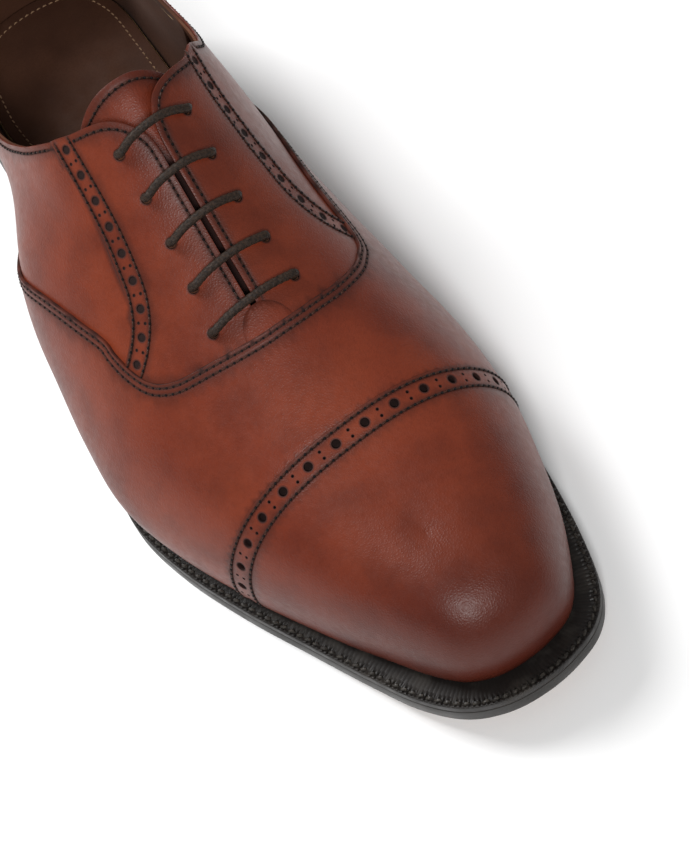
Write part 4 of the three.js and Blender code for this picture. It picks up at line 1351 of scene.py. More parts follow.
class CutLines:
    """Lines that the pieces of the upper are cut to, on the flat pattern."""

    throat_knots = [
        (-43, -3.2), (-42.2, -9.7), (-41.0, -15.8), (-38.4, -22.6), (-35, -26.8),
        (-29.6, -30.1), (-19.6, -32.7), (-9.4, -34.3), (-0.8, -34.6), (6.5, -33.8),
        (13.3, -32.4), (22.6, -29.2), (30.8, -23.6), (35.0, -17.8), (37.3, -10.5),
    ]
    front_top = {
        Side.OUTER: [(-1, 17), (-1.2, 20.4), (-2.3, 23.6), (-4.6, 26.8), (-7.6, 29.9),
                     (-11.5, 32.6), (-16, 34.8), (-21.5, 37.4), (-27.4, 41.6)],
        Side.INNER: [(1, 17), (1.2, 21), (1.9, 24.8), (3.3, 28.4), (5.7, 31.7), (9.4, 34.9),
                     (15, 38.9), (20.3, 43.4), (24.4, 50)],
    }
    strip_edge = {
        Side.OUTER: [(-27.4, 41.6), (-27.5, 35), (-27.6, 28), (-27.9, 20), (-28.5, 12),
                     (-29.5, 5), (-31, -2.5), (-33.7, -8), (-37.7, -12), (-42.5, -14.6),
                     (-47, -16)],
        Side.INNER: [(24.4, 50), (24.3, 42), (24.8, 35), (25.7, 28), (26.7, 21), (28, 14.5),
                     (29.3, 8), (31.5, 2.5), (34.5, -1.5), (39, -4), (43, -5)],
    }
    rear_top = [
        (50, 96), (56, 91), (62, 86), (68, 82), (74, 79), (81, 77.3), (88, 77), (96, 78),
        (105, 80), (115, 83.6), (125, 88), (135, 92), (143, 95.2),
    ]
    wing = [(y, float(wing_line(y))) for y in (92, 82, 70, 58, 46, 36, 26, 16, 6)]
    inner_drop = (0, 0, 0, 0, 1.0, 2.2, 3.8, 5.4, 6.4)
    wing_end = 97.0
    top_z = 97.2

    def __init__(self) -> None:
        """Works the lines out."""
        ends = {s: flat(np.array([rib_at(self.wing_end)]), np.array([float(s.value)]))
                for s in Side}
        outer = side_line(self.wing[:-1], Side.OUTER)
        lowered = [(y, z - drop) for (y, z), drop in zip(self.wing, self.inner_drop)]
        inner = side_line(lowered, Side.INNER)[::-1]
        middle = plan_line(self.throat_knots)
        knots = np.vstack([ends[Side.OUTER], outer, middle, inner, ends[Side.INNER]])
        self.throat = catmull(knots, 420)
        under = offset(self.throat, -4.0)
        self.under = under[np.abs(unflat(under)[1]) < 0.985]
        self.under_place = surface(self.under)

    def cap(self, shift: float) -> Points:
        """The cap's rear edge, moved along the shoe."""
        ts, across = np.linspace(0.03, 0.8, 260), np.linspace(-1, 1, 181)
        t, a = np.meshgrid(ts, across)
        place = LAST.point(t.ravel(), a.ravel())
        level = (past_cap(place) - shift).reshape(t.shape)
        return flat(np.array([np.interp(0, row, ts) for row in level]), across)

    def top(self, side: Side) -> Points:
        """The topline of one side, from the slit to the heel."""
        front = plan_line(self.front_top[side][:-1])
        rear = side_line(self.rear_top if side is Side.OUTER else self.rear_top[1:], side)
        last = flat(np.array([1.0]), np.array([heel_height(self.top_z, side)]))
        return catmull(np.vstack([front, plan_line(self.front_top[side][-1:]), rear, last]), 260)

    def slit(self, side: Side, low: float = -38.3) -> Points:
        """One edge of the slit, from the throat upwards."""
        ys = np.linspace(low, 17, 40)
        return plan_line([(side.value * 1.0, y) for y in ys])

    def strip(self, side: Side) -> Points:
        """Outer edge of one facing, from the topline down to the throat."""
        return catmull(plan_line(self.strip_edge[side]), 120)

    def front_edge(self, side: Side) -> Points:
        """The topline of one facing, from the slit to its strip."""
        return catmull(plan_line(self.front_top[side]), 90)

    def throat_under(self, side: Side) -> Points:
        """The part of the line under the vamp that one facing is cut to, inwards."""
        place = self.under_place
        if side is Side.OUTER:
            keep = (place[:, 0] > -46) & (place[:, 0] < -1.6) & (place[:, 1] < -17)
            return self.under[keep]
        keep = (place[:, 0] > 1.6) & (place[:, 0] < 43) & (place[:, 1] < -7)
        return self.under[keep][::-1]

    def wing_under(self, side: Side) -> Points:
        """The part of that line that one quarter is cut to, from the heel forwards."""
        place = self.under_place
        if side is Side.OUTER:
            return self.under[(place[:, 0] < -10) & (place[:, 1] > -19)]
        return self.under[(place[:, 0] > 10) & (place[:, 1] > -12)][::-1]

    def back_line(self, side: Side, half: float) -> Points:
        """Edge of the strip over the heel seam, from the topline down."""
        ts = np.linspace(1, 0.86, 160)
        rows = []
        for a in np.linspace(heel_height(self.top_z, side), side.value, 30):
            x = np.abs(LAST.point(ts, np.full(len(ts), a))[:, 0])
            rows.append((float(np.interp(half, np.maximum.accumulate(x), ts)), a))
        line = np.array(rows)
        return flat(line[:, 0], line[:, 1])


@dataclass
class Upper:
    """The outer leather: cap, vamp, facings, throat tab, quarters and back strip."""

    lines: CutLines
    finishes: Finishes
    cap_depth: float = -0.45
    vamp_depth: float = -0.1
    facing_depth: float = 0.42
    quarter_depth: float = 0.92
    strip_depth: float = 0.35
    cap_rows: tuple[float, float] = (-1.1, -7.5)
    throat_rows: tuple[float, float] = (-1.25, -3.3)
    strip_rows: tuple[float, float] = (1.0, 6.7)
    edge_row: float = 2.1
    big_hole: float = 1.36
    small_hole: float = 0.42
    hole_pitch: float = 10.3

    def build(self) -> None:
        """Makes every panel and its seams."""
        seams = self._cap() + self._vamp()
        self._throat_tab()
        for side in Side:
            seams += self._facing(side) + self._quarter(side)
        seams += self._back_strip()
        sew("seams_upper", seams, self.finishes.seam)
        # Painted shade in the needle holes of the upper's seams.
        sew("needle_hole_shade_upper", seams, self.finishes.needle_hole_shade, ends=True)

    def _dress(self, panel: Panel, node: str) -> None:
        """Makes a panel and puts it in its node's place."""
        dress(panel.mesh(), self.finishes.calf, Body.SHOE, [node])

    def _cap(self) -> list[Seam]:
        """The toe cap with its punched border."""
        edge = self.lines.cap(0.0)
        seams = [Seam(self.lines.cap(shift), self.cap_depth) for shift in self.cap_rows]
        outer = feather_run(0, t_at(edge), Side.OUTER)
        inner = feather_run(t_at(edge, -1), 0, Side.INNER)
        middle = self.lines.cap(sum(self.cap_rows) / 2)
        holes = punches(middle, self.hole_pitch, 5.0, self.big_hole, self.small_hole, 1.15)
        panel = Panel("cap_leather", [loop_of(*toe_fold(), outer, edge, inner)], self.cap_depth, 1.25,
                      seams, holes)
        self._dress(panel, "toe_cap")
        return seams

    def _vamp(self) -> list[Seam]:
        """The vamp, which runs on under the cap and is sewn over the facings."""
        hidden_edge = self.lines.cap(-10.5)
        throat = self.lines.throat
        seams = [Seam(offset(throat, shift)[14:-14], self.vamp_depth)
                 for shift in self.throat_rows]
        far = rib_at(self.lines.wing_end)
        inner = feather_run(t_at(hidden_edge, -1), far, Side.INNER, 90)
        outer = feather_run(far, t_at(hidden_edge), Side.OUTER, 90)

        def depth(place: Points) -> Points:
            """Sinks the vamp where the cap covers it."""
            past = past_cap(place)
            lip = 0.3 * np.exp(-((Panel.gap(place, [rim]) / 4.5) ** 2))
            return 0.95 + (self.vamp_depth - 0.95) * smoothstep(-2.4, -0.4, past) - lip

        def painted_shade(place: Points) -> Points:
            """Paints shade on the part under the cap, which shows through its punched holes."""
            return 1 - smoothstep(-1.2, 0.1, past_cap(place))

        rim = surface(throat[10:-10])
        loop = loop_of(hidden_edge, inner, throat[::-1], outer)
        # The vamp's near-black edge is partly edge ink and partly a painted shadow line along its
        # raised edge.
        panel = Panel("vamp_leather", [loop], depth, 1.15, seams, painted_shade=painted_shade, edge_ink_and_shade=0.95)
        self._dress(panel, "vamp")
        return seams

    def _facing(self, side: Side) -> list[Seam]:
        """One facing with its punched swan-neck border and its lacing holes."""
        way = -side.value
        strip, front, slit = (self.lines.strip(side), self.lines.front_edge(side),
                              self.lines.slit(side))
        rim = np.vstack([self.lines.slit(side, -27.5), front[1:]])
        depth = self.facing_depth
        seams = [Seam(offset(rim, way * self.edge_row)[2:-12], depth)]
        for shift in self.strip_rows:
            seams.append(Seam(offset(strip, way * shift)[2:-6], depth))
        middle = offset(strip, way * sum(self.strip_rows) / 2)
        holes = punches(middle, 8.6, 4.6 if side is Side.OUTER else 5.6, 1.25, self.small_hole,
                        1.15)
        vamp_edge = self.lines.throat
        holes = [(c, r) for c, r in holes if clear_of(c[None], vamp_edge, 1.2)[0]]
        loop = loop_of(slit, front, strip, self.lines.throat_under(side))
        holes = [(c, r) for c, r in holes if inside(c[None], loop)[0]
                 and clear_of(c[None], loop, r + 0.5)[0]]
        for row in range(5):
            x = side.value * ROW_HALF[row]
            holes.append((plan_line([(x, row_y(row, x))])[0], 1.5))
        lip = surface(vamp_edge)

        def painted_shade(place: Points) -> Points:
            """Paints a contact shadow along the line where the facing goes under the vamp."""
            return 0.9 * np.exp(-Panel.gap(place, [lip]) / 0.7)

        panel = Panel(f"facing_{side.name.lower()}_leather", [loop], depth, 1.3, seams, holes,
                      dimple=0.25, edge_round=0.42, painted_shade=painted_shade)
        self._dress(panel, f"facing_{side.name.lower()}")
        return seams

    def _throat_tab(self) -> None:
        """The half-round tab that closes the slit."""
        turn = np.linspace(-0.15, math.pi + 0.15, 40)
        arc = [(0.5 + 8 * math.cos(a), -34.6 + 8 * math.sin(a)) for a in turn]
        low = [(x, y - 0.4) for x, y in ((-6, -37.5), (0, -38.2), (7, -37.2))]
        loop = loop_of(plan_line(arc), plan_line(low), step=0.9)
        panel = Panel("throat_tab_leather", [loop], 0.05, 0.6, edge_round=0.18, grid=1.6)
        self._dress(panel, "throat_tab")

    def _quarter(self, side: Side) -> list[Seam]:
        """One quarter, from under its facing round to the heel seam."""
        way = -side.value
        top = self.lines.top(side)
        place = surface(top)
        limit = 17.0 if side is Side.OUTER else 14.0
        rear = top[int(np.argmax(np.abs(place[:, 0]) > limit)):]
        heel_edge = fold_line(1.0, a_at(top, -1), side.value)
        wing = self.lines.wing_under(side)
        feather = feather_run(rib_at(LAST.heel), rib_at(0), side, 40)
        feather = feather[feather[:, 0] > t_at(wing) * SPAN_U]
        back = {
            Side.OUTER: [(-34, -18), (-26, -16), (-20.5, -6), (-19, 5), (-18, 18), (-17.3, 33)],
            Side.INNER: [(31, -12), (25, -10), (20, -2), (18, 8), (16.5, 20), (15, 36)],
        }[side]
        strip = self.lines.strip(side)
        loop = loop_of(rear, heel_edge, feather, wing, catmull(plan_line(back), 60))

        facing_loop = loop_of(self.lines.slit(side), self.lines.front_edge(side), strip,
                              self.lines.throat_under(side))

        def painted_shade(spot: Points) -> Points:
            """Paints shade on the part under the facing."""
            covered = inside(flat(*LAST.locate(spot, (0, 1, 2))), facing_loop)
            return covered.astype(float)

        after = offset(top, way * self.edge_row)
        line_place = surface(after)
        beyond = np.abs(line_place[:, 0]) > (28.6 if side is Side.OUTER else 25.6)
        start = int(np.argmax(beyond))
        seams = [Seam(after[start:-8], self.quarter_depth)]
        panel = Panel(f"quarter_{side.name.lower()}_leather", [loop], self.quarter_depth, 0.85,
                      seams, painted_shade=painted_shade)
        self._dress(panel, f"quarter_{side.name.lower()}")
        return seams

    def _back_strip(self) -> list[Seam]:
        """The strip over the heel seam."""
        loops, seams = [], []
        for side in Side:
            edge = self.lines.back_line(side, 8.0)
            top_a = a_at(edge)
            head = flat(np.linspace(1, t_at(edge), 12), np.full(12, top_a))
            foot = feather_run(t_at(edge, -1), 1, side, 12)
            loops.append(loop_of(head, edge, foot, fold_line(1.0, side.value, top_a)))
            for half in (6.6, 4.6):
                seams.append(Seam(self.lines.back_line(side, half)[1:], self.strip_depth))
        panel = Panel("back_strip_leather", loops, self.strip_depth, 1.3, seams)
        self._dress(panel, "back_strip")
        return seams


@dataclass
class Linings:
    """Everything that the foot touches: vamp, quarter and heel linings."""

    lines: CutLines
    finishes: Finishes
    front_y: float = -33.6
    join_y: float = 80.0

    def build(self) -> None:
        """Makes the linings."""
        self._vamp_lining()
        for side in Side:
            self._side_lining(side)
        self._heel_lining()

    def _across(self, y: float, side: Side, a_from: float) -> Points:
        """Line down one side at a true y, from a place to the feather line."""
        ts, across = np.linspace(0.2, 0.98, 260), np.linspace(a_from, side.value, 60)
        t, a = np.meshgrid(ts, across)
        level = LAST.point(t.ravel(), a.ravel())[:, 1].reshape(t.shape) - y
        return flat(np.array([np.interp(0, row, ts) for row in level]), across)

    def _vamp_lining(self) -> None:
        """Lining of the toe and the vamp."""
        back = np.vstack([self._across(self.front_y, Side.OUTER, 0)[::-1],
                          self._across(self.front_y, Side.INNER, 0)[1:]])
        outer = feather_run(0, t_at(back), Side.OUTER)
        inner = feather_run(t_at(back, -1), 0, Side.INNER)
        panel = Panel("vamp_lining_leather", [loop_of(*toe_fold(), outer, back, inner)], 3.3, 1.0,
                      grid=3.4, edge_round=0.2, edge_ink_and_shade=0.2)
        dress(panel.mesh(), self.finishes.lining, Body.SHOE, ["vamp_lining"])

    def _side_lining(self, side: Side) -> None:
        """Lining of one facing and its quarter."""
        slit = self.lines.slit(side, self.front_y)
        top = self.lines.top(side)
        place = surface(top)
        front = top[place[:, 1] < self.join_y]
        down = self._across(self.join_y, side, a_at(front, -1))
        ahead = self._across(self.front_y, side, a_at(slit))[::-1]
        feather = feather_run(t_at(down, -1), t_at(ahead), side)
        loop = loop_of(slit, front, down, feather, ahead)
        name = side.name.lower()
        panel = Panel(f"lining_{name}_leather", [loop], 1.8, 1.0, grid=2.8, edge_round=0.3,
                      edge_ink_and_shade=0.15)
        dress(panel.mesh(), self.finishes.lining, Body.SHOE, [f"lining_{name}"])

    def _heel_lining(self) -> None:
        """The heel grip, which stands off over the counter and comes up to the topline."""
        loops = []
        for side in Side:
            top = self.lines.top(side)
            place = surface(top)
            rear = top[place[:, 1] > self.join_y - 4]
            down = self._across(self.join_y - 4, side, a_at(rear))[::-1]
            feather = feather_run(1, t_at(down), side)
            fold = fold_line(1.0, a_at(rear, -1), side.value)
            loops.append(loop_of(rear, fold, feather, down))

        def depth(place: Points) -> Points:
            """Lies against the leather at the topline and over the counter below."""
            drop = topline(place[:, 1]) - place[:, 2]
            return 1.8 + 1.5 * smoothstep(2, 16, drop)

        panel = Panel("heel_grip_leather", loops, depth, 1.0, grid=2.8, edge_round=0.3,
                      edge_ink_and_shade=0.1)
        dress(panel.mesh(), self.finishes.heel_grip, Body.SHOE, ["heel_lining"])


@dataclass
class Tongue:
    """The tongue under the lacing and its lining, which fold together at the throat."""

    finishes: Finishes
    half: float = 23.0
    front: float = -40.0
    back: float = 43.0
    depth: float = 7.9

    def outline(self, inset: float) -> Points:
        """The tongue's edge seen from above, moved in by an inset."""
        w, front, back = self.half - inset, self.front + inset, self.back - inset
        knots = [
            (0, front), (w - 9, front + 1), (w - 5, front + 8), (w - 2, -5), (w, 22),
            (w - 1, 36), (w - 9, back - 1), (0, back), (9 - w, back - 1), (1 - w, 36),
            (-w, 22), (2 - w, -5), (5 - w, front + 8), (9 - w, front + 1),
        ]
        return catmull(knots, 160, True)

    def build(self) -> None:
        """Makes both layers and the row of stitches at the edge."""
        loop = spaced(plan_line(self.outline(0.2), self.depth), 1.3, True)
        row = plan_line(self.outline(2.4), self.depth)
        seam = Seam(np.vstack([row[38:], row[:3]])[:84], self.depth)

        def painted_shade(place: Points) -> Points:
            """Darkens the part in the shade of the facings."""
            return 0.93 * (1 - smoothstep(16, 24, place[:, 1]))

        panel = Panel("tongue_leather", [loop], self.depth, 1.25, [seam], edge_round=0.45,
                      painted_shade=painted_shade)
        dress(panel.mesh(), self.finishes.calf, Body.TONGUE, ["tongue"])
        inner = spaced(plan_line(self.outline(1.7), self.depth + 1.6), 1.6, True)
        lining = Panel("tongue_lining_leather", [inner], self.depth + 1.6, 0.85, grid=3.0,
                       edge_round=0.2, edge_ink_and_shade=0.1)
        dress(lining.mesh(), self.finishes.lining, Body.TONGUE,
              ["tongue_lining"])
        sew("seam_tongue", [seam], self.finishes.seam, Body.TONGUE)
        # Painted shade in the needle holes of the tongue's seam.
        sew("needle_hole_shade_tongue", [seam], self.finishes.needle_hole_shade, Body.TONGUE, True)


# ------------------------------------------------------------------ lacing


def hole_place(row: int, side: int) -> Points:
    """Place of a lacing hole seen from above; row 0 is the top one."""
    x = side * ROW_HALF[row]
    return np.array([x, row_y(row, x)])


def cord_surface(path: Points, radius: float, sides: int, braid: float) -> Mesh:
    """Vertices and faces of a braided round cord along a path.

    Args:
        path: the centreline, evenly spaced.
        radius: the cord's radius.
        sides: points round it.
        braid: height of the braid's strands, as a share of the radius.

    Returns:
        Vertices and faces.
    """
    along = unit(np.gradient(path, axis=0))
    run = run_along(path)
    normal = unit(np.cross(along[0], [0.3, 0.2, 1.0]))
    points, faces = [], []
    for i, (centre, ahead) in enumerate(zip(path, along)):
        normal = unit(normal - ahead * float(normal @ ahead))
        aside = np.cross(ahead, normal)
        for j in range(sides):
            turn = 2 * math.pi * j / sides
            wave = 3.0 * run[i]
            strand = max(math.sin(4 * turn + wave), math.sin(4 * turn - wave))
            r = radius * (1 - braid * (1 - strand) / 2)
            points.append(centre + r * (math.cos(turn) * normal + math.sin(turn) * aside))
        if i:
            base = (i - 1) * sides
            for j in range(sides):
                k = (j + 1) % sides
                faces.append((base + j, base + k, base + sides + k, base + sides + j))
    faces.append(tuple(reversed(range(sides))))
    end = (len(path) - 1) * sides
    faces.append(tuple(end + j for j in range(sides)))
    return np.array(points), faces


def centripetal(knots: Points, count: int) -> Points:
    """Samples a centripetal Catmull-Rom curve through points at equal steps of its length."""
    first, final = 2 * knots[:1] - knots[1:2], 2 * knots[-1:] - knots[-2:-1]
    padded = np.vstack([first, knots, final])
    pieces = []
    for i in range(len(knots) - 1):
        p0, p1, p2, p3 = padded[i:i + 4]
        gaps = [max(np.linalg.norm(b - a) ** 0.5, 1e-4) for a, b in ((p0, p1), (p1, p2), (p2, p3))]
        d0, d1, d2 = gaps
        m1 = ((p1 - p0) / d0 - (p2 - p0) / (d0 + d1) + (p2 - p1) / d1) * d1
        m2 = ((p2 - p1) / d1 - (p3 - p1) / (d1 + d2) + (p3 - p2) / d2) * d1
        s = np.linspace(0, 1, 60, endpoint=False)[:, None]
        pieces.append(p1 + m1 * s + (3 * (p2 - p1) - 2 * m1 - m2) * s**2
                      + (2 * (p1 - p2) + m1 + m2) * s**3)
    whole = np.vstack(pieces + [knots[-1:]])
    run = run_along(whole)
    at = np.linspace(0, min(TAIL_LENGTH, run[-1]), count)
    return sample(whole, run, at)


@dataclass
class Lacing:
    """One waxed round lace: five straight bars, runs inside, and two ends tucked in the shoe."""

    finishes: Finishes
    braid: float = 0.2
    tip_length: float = 20.0
    tip_radius: float = 1.4
    sock_route: dict[str, list[tuple[float, float]]] = field(default_factory=lambda: {
        "outer": [(-41, 3), (-41, -12), (-40, -30), (-38, -48), (-33, -66), (-25, -83),
                  (-14, -97), (-2, -106)],
        "inner": [(22, 20), (26, 2), (31, -18), (35, -38), (37, -58), (35, -78), (28, -95),
                  (17, -106)],
    })

    def build(self) -> None:
        """Makes the held lace, its two free ends and their tips."""
        path = spaced(catmull(np.array(self._held()), 1800), 0.36)
        cord = cord_surface(path, LACE_RADIUS + 0.14, 18, self.braid)
        fine_piece("lace_held", cord, self.finishes.lace, nodes=["lace"])
        for name, row, side in (("outer", 1, -1), ("inner", 0, 1)):
            self._free_end(name, row, side)
        for node in frame["nodes"]:
            if node.startswith("eyelet"):
                finish_node(node, self.finishes.brass)

    def _through(self, row: int, side: int, above: Points, below: Points) -> list[Points]:
        """Down through a hole, with a turn towards a heading at each end."""
        place = hole_place(row, side)
        start, up = LAST.face(place)
        start, up = start[0], up[0]
        deep = LAST.below(place, 5.0)[0]
        scale = float(np.linalg.norm(deep - start)) / 5.0

        def bend(heading: Points, height: float, sign: int) -> list[Points]:
            """Quarter turn from the hole's axis into the heading."""
            level = np.array([heading[0], heading[1], 0.0])
            level = unit(level - up * float(level @ up))
            steps = [i * math.pi / 8 for i in range(5)]
            return [start + up * (height + sign * TURN * math.sin(a))
                    + level * TURN * (1 - math.cos(a)) for a in steps]

        top = bend(above, LACE_OVER - TURN, 1)
        bottom = bend(below, TURN - LACE_UNDER * scale, -1)
        return top[::-1] + bottom

    def _bar(self, row: int, start: int) -> list[Points]:
        """The bar over the slit from one side to the other."""
        places = []
        for share in (0.55, 0.2, -0.2, -0.55):
            x = share * start * ROW_HALF[row]
            places.append((x, row_y(row, x)))
        return list(LAST.below(np.array(places), -LACE_OVER))

    def _run(self, side: int, start: int, end: int, sway: float) -> list[Points]:
        """A run on the inside from one row to another."""
        a, b = hole_place(start, side), hole_place(end, side)
        shares = [0.5] if abs(end - start) == 1 else [0.26, 0.5, 0.74]
        places = [a + (b - a) * s + np.array([sway, 0]) for s in shares]
        return list(LAST.below(np.array(places), LACE_UNDER))

    def _held(self) -> list[Points]:
        """Route of straight-bar lacing with one lace."""
        up, down, out = (0, 1), (0, -1), (-1, 0)
        left, right = (1, 0), (-1, 0)
        through, bar, run = self._through, self._bar, self._run
        return [
            *through(1, -1, left, out)[::-1], *bar(1, -1),
            *through(1, 1, right, (-0.5, -1)), *run(1, 1, 3, -4.6),
            *through(3, 1, right, (-0.5, 1))[::-1], *bar(3, 1),
            *through(3, -1, left, down), *run(-1, 3, 4, 0),
            *through(4, -1, left, up)[::-1], *bar(4, -1),
            *through(4, 1, right, (0.5, 1)), *run(1, 4, 2, 4.6),
            *through(2, 1, right, (0.5, -1))[::-1], *bar(2, 1),
            *through(2, -1, left, (0.5, 1)), *run(-1, 2, 0, 4.6),
            *through(0, -1, left, (0.5, -1))[::-1], *bar(0, -1),
            *through(0, 1, right, (1, 0)),
        ]

    def _route(self, name: str, row: int, side: int) -> Points:
        """Route of a free end: down inside the quarter and forward along the sock."""
        x, y = hole_place(row, side)
        start = LAST.below(np.array([[x + side * (TURN + 3 * GAP), y]]), LACE_UNDER)[0]
        t = rib_at(y)
        a = side * (1 - np.array([0.72, 0.6, 0.48, 0.36, 0.26]))
        wall = LAST.point(np.full(5, t), a, LACE_UNDER + 0.1)
        hover = SOLE_STACK + INSOLE + 1.0 + 2 * GAP + LACE_RADIUS + 3 * GAP
        foot = np.array([(px, py, float(sole_bottom(py)) + hover)
                         for px, py in self.sock_route[name]])
        entry = wall[-1] + 0.55 * (foot[0] - wall[-1]) + np.array([0, 0, 2.0])
        return np.vstack([start, wall, entry, foot])

    def _free_end(self, name: str, row: int, side: int) -> None:
        """One free end of the lace, made as a cord mesh, and its tip."""
        path = centripetal(self._route(name, row, side), 360)
        cord = cord_surface(path, LACE_RADIUS, 16, self.braid * 0.7)
        piece = fine_piece(f"lace_tail_{name}", cord, self.finishes.lace,
                           nodes=[f"lace_end_{name}"])
        tip = self._tip(name, path)
        row_path = to_row(path)

    def _tip(self, name: str, path: Points) -> bpy.types.Object:
        """The plastic tip: a plain sleeve with softened ends."""
        ahead = unit(path[-1] - path[-4])
        deselect()
        bpy.ops.mesh.primitive_cylinder_add(vertices=24, radius=self.tip_radius * MM,
                                            depth=self.tip_length * MM, end_fill_type="NGON")
        tip = bpy.context.object
        tip.name = tip.data.name = f"lace_tip_{name}"
        middle = path[-1] + ahead * (GAP + self.tip_length / 2)
        turn = Vector((0, 0, 1)).rotation_difference(Vector(ahead)).to_matrix().to_4x4()
        tip.data.transform(Matrix.Translation(Vector(to_row(middle[None])[0])) @ turn)
        bevel = tip.modifiers.new("soft_ends", "BEVEL")
        bevel.width = 0.45 * MM
        bevel.segments = 3
        apply_all(tip)
        round_edges(tip, 0)
        return dress(tip, self.finishes.tip, Body.SHOE, [f"aglet_{name}"])


def finish_node(node: str, material: bpy.types.Material) -> None:
    """Gives a carried-over CAD node its finish."""
    mesh = frame["nodes"][node].data
    mesh.materials.clear()
    mesh.materials.append(material)


# ------------------------------------------------------------------ bottom


def edge_loop(inset: float, y_from: float = -200.0, y_to: float = 200.0) -> Points:
    """The sole's edge moved in, cut straight across where it leaves a stretch of the shoe."""
    loop = LAST.edge - LAST.out * inset
    return clip_y(clip_y(loop, y_from, 1), y_to, -1)


def feather_loop(inset: float) -> Points:
    """The feather line moved in."""
    return LAST.feather - LAST.out * inset


def clip_y(loop: Points, limit: float, sign: int) -> Points:
    """Keeps the part of a loop above (sign 1) or below (sign -1) a line across."""
    result = []
    for here, after in zip(loop, np.roll(loop, -1, 0)):
        in_here, in_after = sign * (here[1] - limit) >= 0, sign * (after[1] - limit) >= 0
        if in_here:
            result.append(here)
        if in_here != in_after:
            share = (limit - here[1]) / (after[1] - here[1])
            result.append(here + share * (after - here))
    return np.array(result)


def slab(
    name: str,
    loop: Points,
    low: Callable[[Points], Points],
    high: Callable[[Points], Points],
    lines: Sequence[Points] = (),
    grid: float = 5.0,
    edge_round: float = 0.3,
    ink: float = 0.0,
) -> bpy.types.Object:
    """Makes a plate with a given outline between two surfaces.

    Args:
        name: the piece's name.
        loop: its outline seen from above.
        low: height of its underside along the shoe.
        high: height of its top.
        lines: marked lines that are pressed into both faces.
        grid: distance between the points that fill it.
        edge_round: width of the rounding of its edges.
        ink: how far the inked edge reaches in over the faces.

    Returns:
        The piece.
    """
    loop = spaced(loop, 1.5, True)
    points, faces = cut_flat([loop], (), lines, grid)
    count = len(points)
    groove = np.zeros(count)
    if lines:
        every = np.vstack(lines)
        groove = np.array([np.min(np.hypot(*(every - p).T)) for p in points])
        groove = 0.3 * np.exp(-((groove / 0.5) ** 2))
    under = np.column_stack([points, low(points[:, 1]) + groove])
    over = np.column_stack([points, high(points[:, 1]) - groove])
    every = np.vstack([under, over])
    pairs: dict[tuple[int, int], int] = {}
    for f in faces:
        for a, b in zip(f, f[1:] + f[:1]):
            pairs[(a, b)] = pairs.get((a, b), 0) + 1
    rim = [(a, b) for a, b in pairs if (b, a) not in pairs]
    solid = [tuple(i + count for i in f) for f in faces]
    solid += [tuple(reversed(f)) for f in faces]
    solid += [(a, b, b + count, a + count) for a, b in rim]
    piece = new_piece(name, every, solid)
    if ink > 0:
        away = np.array([np.min(np.hypot(*(loop - p).T)) for p in points])
        carry_shade(piece, np.tile(1 - smoothstep(ink * 0.7, ink, away), 2))
    weld(piece, 0.005)
    round_edges(piece, edge_round, 60)
    return piece


def above_sole(z: float) -> Callable[[Points], Points]:
    """A surface a set height over the sole's underside."""
    return lambda y: sole_bottom(y) + z


def level(z: float) -> Callable[[Points], Points]:
    """A surface at one height."""
    return lambda y: np.full(np.shape(y), float(z))


